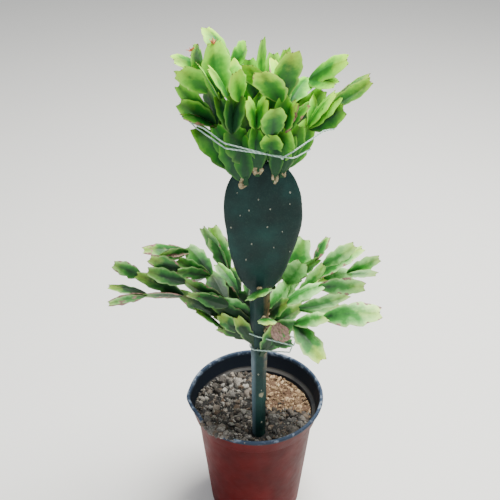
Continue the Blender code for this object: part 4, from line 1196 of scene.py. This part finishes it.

# %% [markdown]
# ### Their skin
# A segment's skin is a green, slightly translucent cuticle with dried, corky spots, and its young tip is
# yellower. Its colour is painted darker along the midrib and at its base and lighter to its edges and tip,
# with a pale margin: painted light shining through the thin edges and painted shade at the base, while the
# margin is partly the blade's own yellow edge and the tip partly its paler young green. Its tone sets the
# place on a ramp of greens, so one function makes the brighter skin of the upper tier and the duller one of
# the lower tier.

# %% The segments' skin
def segment_skin(name, mottling, gloss, shade, middle, light, tip, margin, dried):
    """A Christmas cactus's cuticle: its greens from shaded to tip, its pale margin, partly painted light
    through the thin edge, and its dried spots.
    """
    made, tree, place = new_material(name)
    across, along, _ = add(tree, "SeparateXYZ", place.node.outputs["UV"]).outputs
    tone, yellow, dry = add(tree, "SeparateColor", add(tree, "Attribute", attribute_name="leaf")).outputs
    mottle = add(tree, "TexNoise", Vector=place, Scale=1 / (9 * MM), Detail=4.0)
    spots = add(tree, "TexNoise", Vector=place, Scale=1 / (2.5 * MM), Detail=3.0)
    from_rib = add(tree, "Math ABSOLUTE", add(tree, "Math SUBTRACT", across, 0.5))
    tone = add(tree, "Math", tone, add(tree, "MapRange", mottle, 0.3, 0.7, -mottling, mottling))
    # Painted light: darker at the midrib and lighter to the edges, as light shines through the thin edges.
    tone = add(tree, "Math", tone, add(tree, "MapRange", from_rib, 0.0, 0.5, -0.2, 0.24))
    # Darker at the base as painted shade, and lighter to the tip, partly its paler young green.
    tone = add(tree, "Math", tone, add(tree, "MapRange", along, 0.1, 1.0, -0.26, 0.18))
    green = add(tree, "ValToRGB", tone, stops=((0.1, shade), (0.48, middle), (0.85, light)))
    ragged_along = add(tree, "Math", along, add(tree, "MapRange", mottle, 0.3, 0.7, -0.12, 0.12))
    at_tip = add(tree, "MapRange", ragged_along, 0.6, 1.0, 0.0, 0.85)
    green = add(tree, "Mix RGBA", add(tree, "Math MULTIPLY", at_tip, yellow), green, tip)
    # The pale margin: partly the blade's own yellow edge, partly painted light shining through the thin
    # edge.
    ragged_edge = add(tree, "Math", from_rib, add(tree, "MapRange", spots, 0.3, 0.7, -0.02, 0.02))
    at_edge = add(tree, "MapRange", ragged_edge, 0.36, 0.5, 0.0, 0.45)
    pale = add(tree, "Math MULTIPLY", at_edge, add(tree, "Math", yellow, 0.12))
    green = add(tree, "Mix RGBA", pale, green, margin)
    dry_room = add(tree, "Math", add(tree, "MapRange", from_rib, 0.25, 0.5, -0.35, 0.15), dry)
    dry_room = add(tree, "Math", dry_room, add(tree, "MapRange", mottle, 0.3, 0.7, -0.4, 0.4))
    dry_spots = add(tree, "MapRange", dry_room, 0.46, 0.56)
    corky = add(tree, "Mix RGBA", add(tree, "MapRange", spots, 0.35, 0.65), *dried)
    final = add(tree, "Mix RGBA", dry_spots, green, corky)
    shader = add(tree, "BsdfPrincipled", IOR=1.45, Base_Color=final, Specular_IOR_Level=gloss,
                 Roughness=add(tree, "MapRange", spots, 0.3, 0.7, 0.4, 0.55),
                 Subsurface_Weight=0.05, Subsurface_Radius=(0.6, 1.0, 0.3), Subsurface_Scale=2 * MM,
                 Normal=add(tree, "Bump", Height=spots, Distance=0.12 * MM, Strength=1.0))
    add(tree, "OutputMaterial", shader)
    return made


# The two skins are a lit and a shaded copy of one cuticle: besides the lower tier's more mottled greens,
# their difference in brightness is painted light and shade, and the lower one's pale mint green is a
# painted glare of the sky.
skins = {
    "upper": segment_skin("sunlit_segment_cuticle", 0.1, 0.24, "#1a4626", "#368626", "#88e838",
                          "#d8f83c", "#dcf07c", ("#6f5040", "#b08c72")),
    "lower": segment_skin("shaded_segment_cuticle", 0.13, 0.4, "#103618", "#3a8c34", "#b0f294",
                          "#d4ee58", "#e8f4ac", ("#74564a", "#ad8a7c")),
}
print("skins", [made.name for made in skins.values()])

# %% [markdown]
# ### Branches in one piece
# The segments of a branch grew out of each other, so each scion becomes one closed solid: its root wedge
# and its blades, joined by a Boolean union, which keeps the UV map and the corner colours.

# %% Join the branches
def root_block(blade):
    """The root wedge of a blade that grows from the rootstock, sunk in it."""
    along, across, out = directions(*blade.aim)
    seat = blade.start - along * (ROOT_REACH - ROOT_OVERLAP)
    size = Matrix.Diagonal((ROOT_DEPTH + ROOT_REACH, ROOT_WIDTH, ROOT_THICKNESS, 1))
    turn = Matrix((along, across, out)).transposed().to_4x4()
    place = Matrix.Translation(seat + along * (ROOT_REACH - ROOT_DEPTH) / 2)
    bm = bmesh.new()
    bmesh.ops.create_cube(bm, size=1, matrix=place @ turn @ size)
    uv, leaf = bm.loops.layers.uv.new("UVMap"), bm.loops.layers.float_color.new("leaf")
    for loop in (loop for face in bm.faces for loop in face.loops):
        loop[uv].uv, loop[leaf] = (0.5, 0.2), (0.3, 0, 0, 1)
    return new_object("root_wedge", bm)


for scion in plan:
    own = [(blade, look) for blade, look in zip(growth.blades, blade_looks) if blade.scion == scion]
    branch = fine_blade(*own[0])
    branch.name = branch.data.name = scion + "_branch"
    roots = [root_block(blade) for blade, _ in own if blade.parent is None]
    join_solids(branch, roots + [fine_blade(*each) for each in own[1:]])
    tier = scion.split("_")[0]
    finish_piece(branch, skins[tier], tier + "_segment", scion, smooth_angle=75)

# %% [markdown]
# ### Areoles and withered buds
# The notch at the end of each segment holds an areole, the spot that buds and bristles grow from, and so
# do the horns of the last segments. They are dark specks of felt with short bristles. Two segments at the
# top left still carry an orange bud that withered: a bunch of thin, spreading cones.

# %% Set the specks and buds
SPECK_RADIUS, SPECK_SIZES = 0.55 * MM, (0.7, 1.2)
SPECK_BRISTLES, SPECK_SIDES, SPECK_RADII, SPECK_LENGTH, SPECK_LEAN = 3, 3, (0.12, 0.03), 1.6, (0, 0.8)
HORN_SHARE = 0.955                  # the horns' place along the blade
BUDS_ON, BUD_SHARE = (65, 87), 0.93
BUD_PETALS, BUD_SIDES, BUD_RADII, BUD_LENGTHS, BUD_LEAN = 14, 6, (0.8, 0.15), (3.5, 6.5), (0, 1.0)
BUD_LUMPS, BUD_ROUGHNESS = 2 * MM, 0.4 * MM


def seat_on(blade, side, share):
    """A seat on a blade, whose Z axis points along it."""
    turned = blade.along.to_track_quat("Z", "Y").to_matrix().to_4x4()
    return Matrix.Translation(blade.place(side, share)) @ turned


chance = random.Random(12)
bm = bmesh.new()
for blade in growth.blades:
    spots = [(0, ROWS[-1][1])]
    if not blade.branches:
        spots += [(side * ROWS[-1][2] * blade.width / 2, HORN_SHARE) for side in (-1, 1)]
    for side, share in spots:
        seat = seat_on(blade, side, share)
        radius = SPECK_RADIUS * chance.uniform(*SPECK_SIZES)
        bmesh.ops.create_icosphere(bm, subdivisions=1, radius=radius, matrix=seat)
        for _ in range(SPECK_BRISTLES):
            add_spike(bm, seat, SPECK_SIDES, SPECK_RADII, SPECK_LENGTH, SPECK_LEAN)
dark_felt = fibrous("weathered_areole_felt", 0.6, 2.0, ((0.35, "#3a2a20"), (0.65, "#7a6048")),
                    Roughness=0.9)
finish_piece(new_object("segment_areoles", bm), dark_felt, "upper_segment")

bm = bmesh.new()
for index in BUDS_ON:
    seat = seat_on(growth.blades[index], 0, BUD_SHARE)
    for _ in range(BUD_PETALS):
        add_spike(bm, seat, BUD_SIDES, BUD_RADII, chance.uniform(*BUD_LENGTHS), BUD_LEAN)
roughened(bm, BUD_LUMPS, BUD_ROUGHNESS)
petals = fibrous("withered_bud_petals", 1.5, 3.0, ((0.3, "#b5532f"), (0.5, "#d9794c"), (0.7, "#e8a070")),
                 Roughness=0.7, Subsurface_Weight=0.2, Subsurface_Scale=1 * MM)
finish_piece(new_object("withered_buds", bm), petals, "upper_segment", smooth_angle=60)

# %% [markdown]
# ## The string
# Thin twisted string was wound round each tier until the grafts had grown on. The imported windings keep
# their form, and get its finish: pale, slightly translucent polypropylene fibre, with the strands' twist as
# a fine wave in the bump. The same wave paints the grooves between the strands darker, as painted shade.
# The knot in front on the upper winding has taken on a reddish brown.

# %% Twisted polypropylene string
KNOT = Vector((23, -75, 518)) * MM
string, tree, here = new_material("twisted_polypropylene_string")
strands = add(tree, "TexWave", Vector=here, Scale=1 / (6 * MM), Distortion=2.0, wave_type="BANDS",
              bands_direction="DIAGONAL")
# Painted shade: the colour is darker in the grooves of the wave and paler on its ridges.
fibre = add(tree, "Mix RGBA", strands, "#94b6ac", "#d4ece2")
reach = add(tree, "VectorMath DISTANCE", here, tuple(KNOT)).outputs["Value"]
stained = add(tree, "Mix RGBA", add(tree, "MapRange", reach, 5 * MM, 2 * MM), fibre, "#8a5a48")
shader = add(tree, "BsdfPrincipled", IOR=1.49, Roughness=0.55, Base_Color=stained,
             Normal=add(tree, "Bump", Height=strands, Distance=0.2 * MM, Strength=1.0))
add(tree, "OutputMaterial", shader)
for name, node in frame["nodes"].items():
    if "tie" in name:
        for slot in node.material_slots:
            slot.link = "OBJECT"
            slot.material = string
print("string on", [name for name in frame["nodes"] if "tie" in name])

# %% [markdown]
# ## The soil
# The surface of potting soil is never level. This one was filled from the left, so it is heaped there up
# to the rim and falls towards the back right. The body is a turned solid whose top is moved to a formula
# for the height. Its outer ring follows the pot's inner wall and leaves a slit of 0.3 mm.

# %% Fill the soil
GAP = 0.3 * MM
TOP_RINGS, TOP_STEPS = 44, 144
LEVEL = 147.5 * MM
FALL_X, FALL_Y = -0.075, -0.04                   # the surface's slope
HEAP_AT, HEAP_HEIGHT, HEAP_SPREAD = Vector((-52, -57)) * MM, 21 * MM, 25 * MM
LUMPS = ((14 * MM, 3.2 * MM), (5 * MM, 1.6 * MM))
SIDE_HEIGHTS = (168, 160, 152, 149.7, 147.5, 140, 120, 80, 40, 2.5)     # millimetres
SIDE_STEP = 0.2 * MM                             # the least drop between two of them
WALL_REACH = 78 * MM                             # the surface meets the wall about here
BLEND_FROM = 0.85                                # from this share of the radius it eases to its edge
STEM_HOLE_RADII, STEM_HOLE_DEPTH, STEM_HOLE_Z = (7.6, 8.2), 120 * MM, 134 * MM


def soil_height(x, y):
    """The soil's height above a place."""
    heap = HEAP_HEIGHT * math.exp(-((Vector((x, y)) - HEAP_AT).length / HEAP_SPREAD) ** 2)
    lumps = sum(depth * noise.noise(Vector((x, y, 0)) / size) for size, depth in LUMPS)
    return LEVEL + FALL_X * x + FALL_Y * y + heap + lumps


# The profile holds shares of the radius on the top, at 1, and numbers of the side heights below it
profile = [(ring / TOP_RINGS, 1) for ring in range(TOP_RINGS + 1)]
profile += [(1, -station) for station in range(len(SIDE_HEIGHTS))] + [(0, 1 - len(SIDE_HEIGHTS))]
bm = spun(profile, TOP_STEPS)
for vert in bm.verts:
    turn = math.atan2(vert.co.y, vert.co.x)
    share, level = min(math.hypot(vert.co.x, vert.co.y), 1), round(vert.co.z)
    edge = min(soil_height(*around(turn, WALL_REACH)), POT_HEIGHT - 1 * MM)
    radius = share * (inner_radius(edge) + bend_at(turn, edge) - GAP)
    if level == 1:
        height = soil_height(*around(turn, radius))
        height += (edge - height) * max(share - BLEND_FROM, 0) / (1 - BLEND_FROM)
    else:
        height = min(SIDE_HEIGHTS[-level] * MM, edge - (1 - level) * SIDE_STEP)
        radius = share * (inner_radius(height) + bend_at(turn, height) - GAP)
    vert.co = (*around(turn, radius), height)
soil = new_object("potting_soil", bm)
bm = bmesh.new()
below, above = STEM_HOLE_RADII
bmesh.ops.create_cone(bm, cap_ends=True, segments=36, radius1=below * MM, radius2=above * MM,
                      depth=STEM_HOLE_DEPTH, matrix=Matrix.Translation((STEM_X, STEM_Y, STEM_HOLE_Z)))
join_solids(soil, [new_object("stem_hole", bm)], "DIFFERENCE")
print("soil", [round(height / MM, 1) for height in (soil_height(*HEAP_AT), soil_height(0, 0))], "mm high")

# %% [markdown]
# ### Soil and grit
# Potting soil is dark humus with pale mineral bits. At the back right it is covered with tan crushed-brick
# grit. Which of the two a grain belongs to depends on where it lies, with some chance, so the two mix along
# a ragged border. Each grain is a small ball, squeezed and roughened, with its own tone. They are made in
# small batches, because adding to a large bmesh gets slow. The soil body under the grains is painted darker
# than they are, as painted shade in the gaps between them, and the soil grains at the front right are
# darker still, as painted shade.

# %% Scatter the grains
# Each kind: how many, their sizes in millimetres, the ball's subdivisions, and the angle that stays sharp
GRAINS = {
    "soil_clods": (150, (6, 13), 2, 35),
    "pebbles_and_grit": (1000, (2.8, 7.5), 1, 25),
    "soil_crumbs": (2500, (1.0, 2.6), 1, 30),
}
GRAINS_A_BATCH = 25
SPILL_SHARE, SPILL_TURN, SPILL_RADII = 0.08, (236, 8), (72, 84)   # a share, degrees and millimetres
GRAIN_REACH = 75 * MM
HEAP_FINENESS = 0.65                # the heap is of finer soil
STEM_ROOM, WALL_ROOM = 9 * MM, 0.65 # how far grains keep from the stem, and, in sizes, from the wall
GRAIN_RISE = (-0.1, 0.25)           # how high their middles lie over the soil, in sizes
BRICK_FROM, BRICK_SLOPE = 3 * MM, -0.15   # the brick grit lies behind this line and right of it
BRICK_SPREAD_X, BRICK_SPREAD_Y = 4 * MM, 8 * MM   # how far chance moves that border for a grain
BRICK_WAVE, BRICK_WAVE_SIZE = 6 * MM, 9 * MM   # and a noise, for the soil itself
MOST_BRICK = 6.5 * MM               # larger bits of brick are left out
# Painted shade in the gaps between the grains: the soil body is darker than they are.
BED_SHADE_TONE = -0.15
SHADED_TONE = 0.65                  # the front right lies in the shade
GRAIN_SQUEEZE, GRAIN_ROUGHNESS, GRAIN_LUMPS = (0.45, 1.25), 0.7, 1.5
chance = random.Random(8)


def is_brick_at(x, y):
    """True at the back right, where the tan grit lies."""
    return x > BRICK_FROM and y > BRICK_FROM + BRICK_SLOPE * x


def add_grain(bm, tone, sizes, subdivisions):
    """One grain on the soil, or on the rim where the heap spills over it."""
    size = chance.uniform(*sizes) * MM
    spilled = chance.random() < SPILL_SHARE
    if spilled:
        turn, radius = math.radians(chance.gauss(*SPILL_TURN)), chance.uniform(*SPILL_RADII) * MM
        x, y = around(turn, radius)
        z = POT_HEIGHT + 0.1 * size
    else:
        turn, share = chance.uniform(0, math.tau), math.sqrt(chance.uniform(0.001, 1))
        radius = GRAIN_REACH * share
        height = soil_height(*around(turn, radius))
        radius = min(radius, inner_radius(height) + bend_at(turn, height) - WALL_ROOM * size)
        x, y = around(turn, radius)
        if (Vector((x, y)) - HEAP_AT).length < HEAP_SPREAD:
            size *= HEAP_FINENESS
        z = soil_height(x, y) + size * chance.uniform(*GRAIN_RISE)
    if math.hypot(x - STEM_X, y - STEM_Y) < STEM_ROOM + size / 2:
        return
    brick = is_brick_at(x + chance.gauss(0, BRICK_SPREAD_X), y + chance.gauss(0, BRICK_SPREAD_Y))
    if brick and size > MOST_BRICK:
        return
    squeeze = Matrix.Diagonal([size / 2 * chance.uniform(*GRAIN_SQUEEZE) for _ in range(3)] + [1])
    angle = chance.uniform(0, math.tau)
    turned = Matrix.Rotation(angle, 4, Vector([chance.uniform(-1, 1) for _ in range(3)]))
    place = Matrix.Translation((x, y, z))
    new = bmesh.ops.create_icosphere(bm, subdivisions=subdivisions, radius=1,
                                     matrix=place @ turned @ squeeze)
    shaded = SHADED_TONE if x > BRICK_FROM and not brick else 1
    look = (chance.random() * shaded, 1 if brick else 0, chance.random() ** 2, 1)
    for vert in new["verts"]:
        lump = noise.noise(vert.co / size * GRAIN_LUMPS)
        vert.co += (vert.co - place.translation) * GRAIN_ROUGHNESS * lump
        for loop in vert.link_loops:
            loop[tone] = look


def grains(count, sizes, subdivisions):
    """Grains over the soil, with a tone on each face corner."""
    all_grains = bmesh.new()
    for _ in range(count // GRAINS_A_BATCH):
        bm = bmesh.new()
        tone = bm.loops.layers.float_color.new("grain")
        for _ in range(GRAINS_A_BATCH):
            add_grain(bm, tone, sizes, subdivisions)
        batch = bpy.data.meshes.new("batch")
        bm.to_mesh(batch)
        bm.free()
        all_grains.from_mesh(batch)
        bpy.data.meshes.remove(batch)
    return all_grains


heaps = [new_object(name, grains(*kind[:3])) for name, kind in GRAINS.items()]
print("grains", [len(heap.data.polygons) for heap in heaps], "faces")

# %% Potting soil with crushed brick
humus, tree, here = new_material("potting_soil_with_crushed_brick")
tone, brick, warm = add(tree, "SeparateColor", add(tree, "Attribute", attribute_name="grain")).outputs
fine = add(tree, "TexNoise", Vector=here, Scale=1 / (2 * MM), Detail=6.0)
tone = add(tree, "Math", add(tree, "Math MULTIPLY", tone, 0.8),
           add(tree, "MapRange", fine, 0.3, 0.7, -0.12, 0.24))
dark = add(tree, "ValToRGB", tone,
           stops=((0.0, "#1c1c1b"), (0.35, "#454341"), (0.65, "#74716c"), (1.0, "#b0aca4")))
dark = add(tree, "Mix RGBA", add(tree, "Math MULTIPLY", warm, 0.45), dark, "#6e5740")
tan = add(tree, "ValToRGB", tone,
          stops=((0.0, "#5a4434"), (0.35, "#8c7458"), (0.7, "#b09474"), (1.0, "#d0be9e")))
is_brick = add(tree, "Math GREATER_THAN", brick, 0.5)
shader = add(tree, "BsdfPrincipled", Roughness=0.95,
             Base_Color=add(tree, "Mix RGBA", is_brick, dark, tan),
             Normal=add(tree, "Bump", Height=fine, Distance=0.6 * MM, Strength=1.0))
add(tree, "OutputMaterial", shader)
bm = bmesh.new()
bm.from_mesh(soil.data)
tone = bm.loops.layers.float_color.new("grain")
for vert in bm.verts:
    brick = is_brick_at(vert.co.x, vert.co.y + BRICK_WAVE * noise.noise(vert.co / BRICK_WAVE_SIZE))
    for loop in vert.link_loops:
        loop[tone] = (BED_SHADE_TONE, 1 if brick else 0, 0, 1)
bm.to_mesh(soil.data)
bm.free()
finish_piece(soil, humus, "soil_grit", "soil", smooth_angle=80)
for heap in heaps:
    finish_piece(heap, humus, "soil_grit", smooth_angle=GRAINS[heap.name][3])
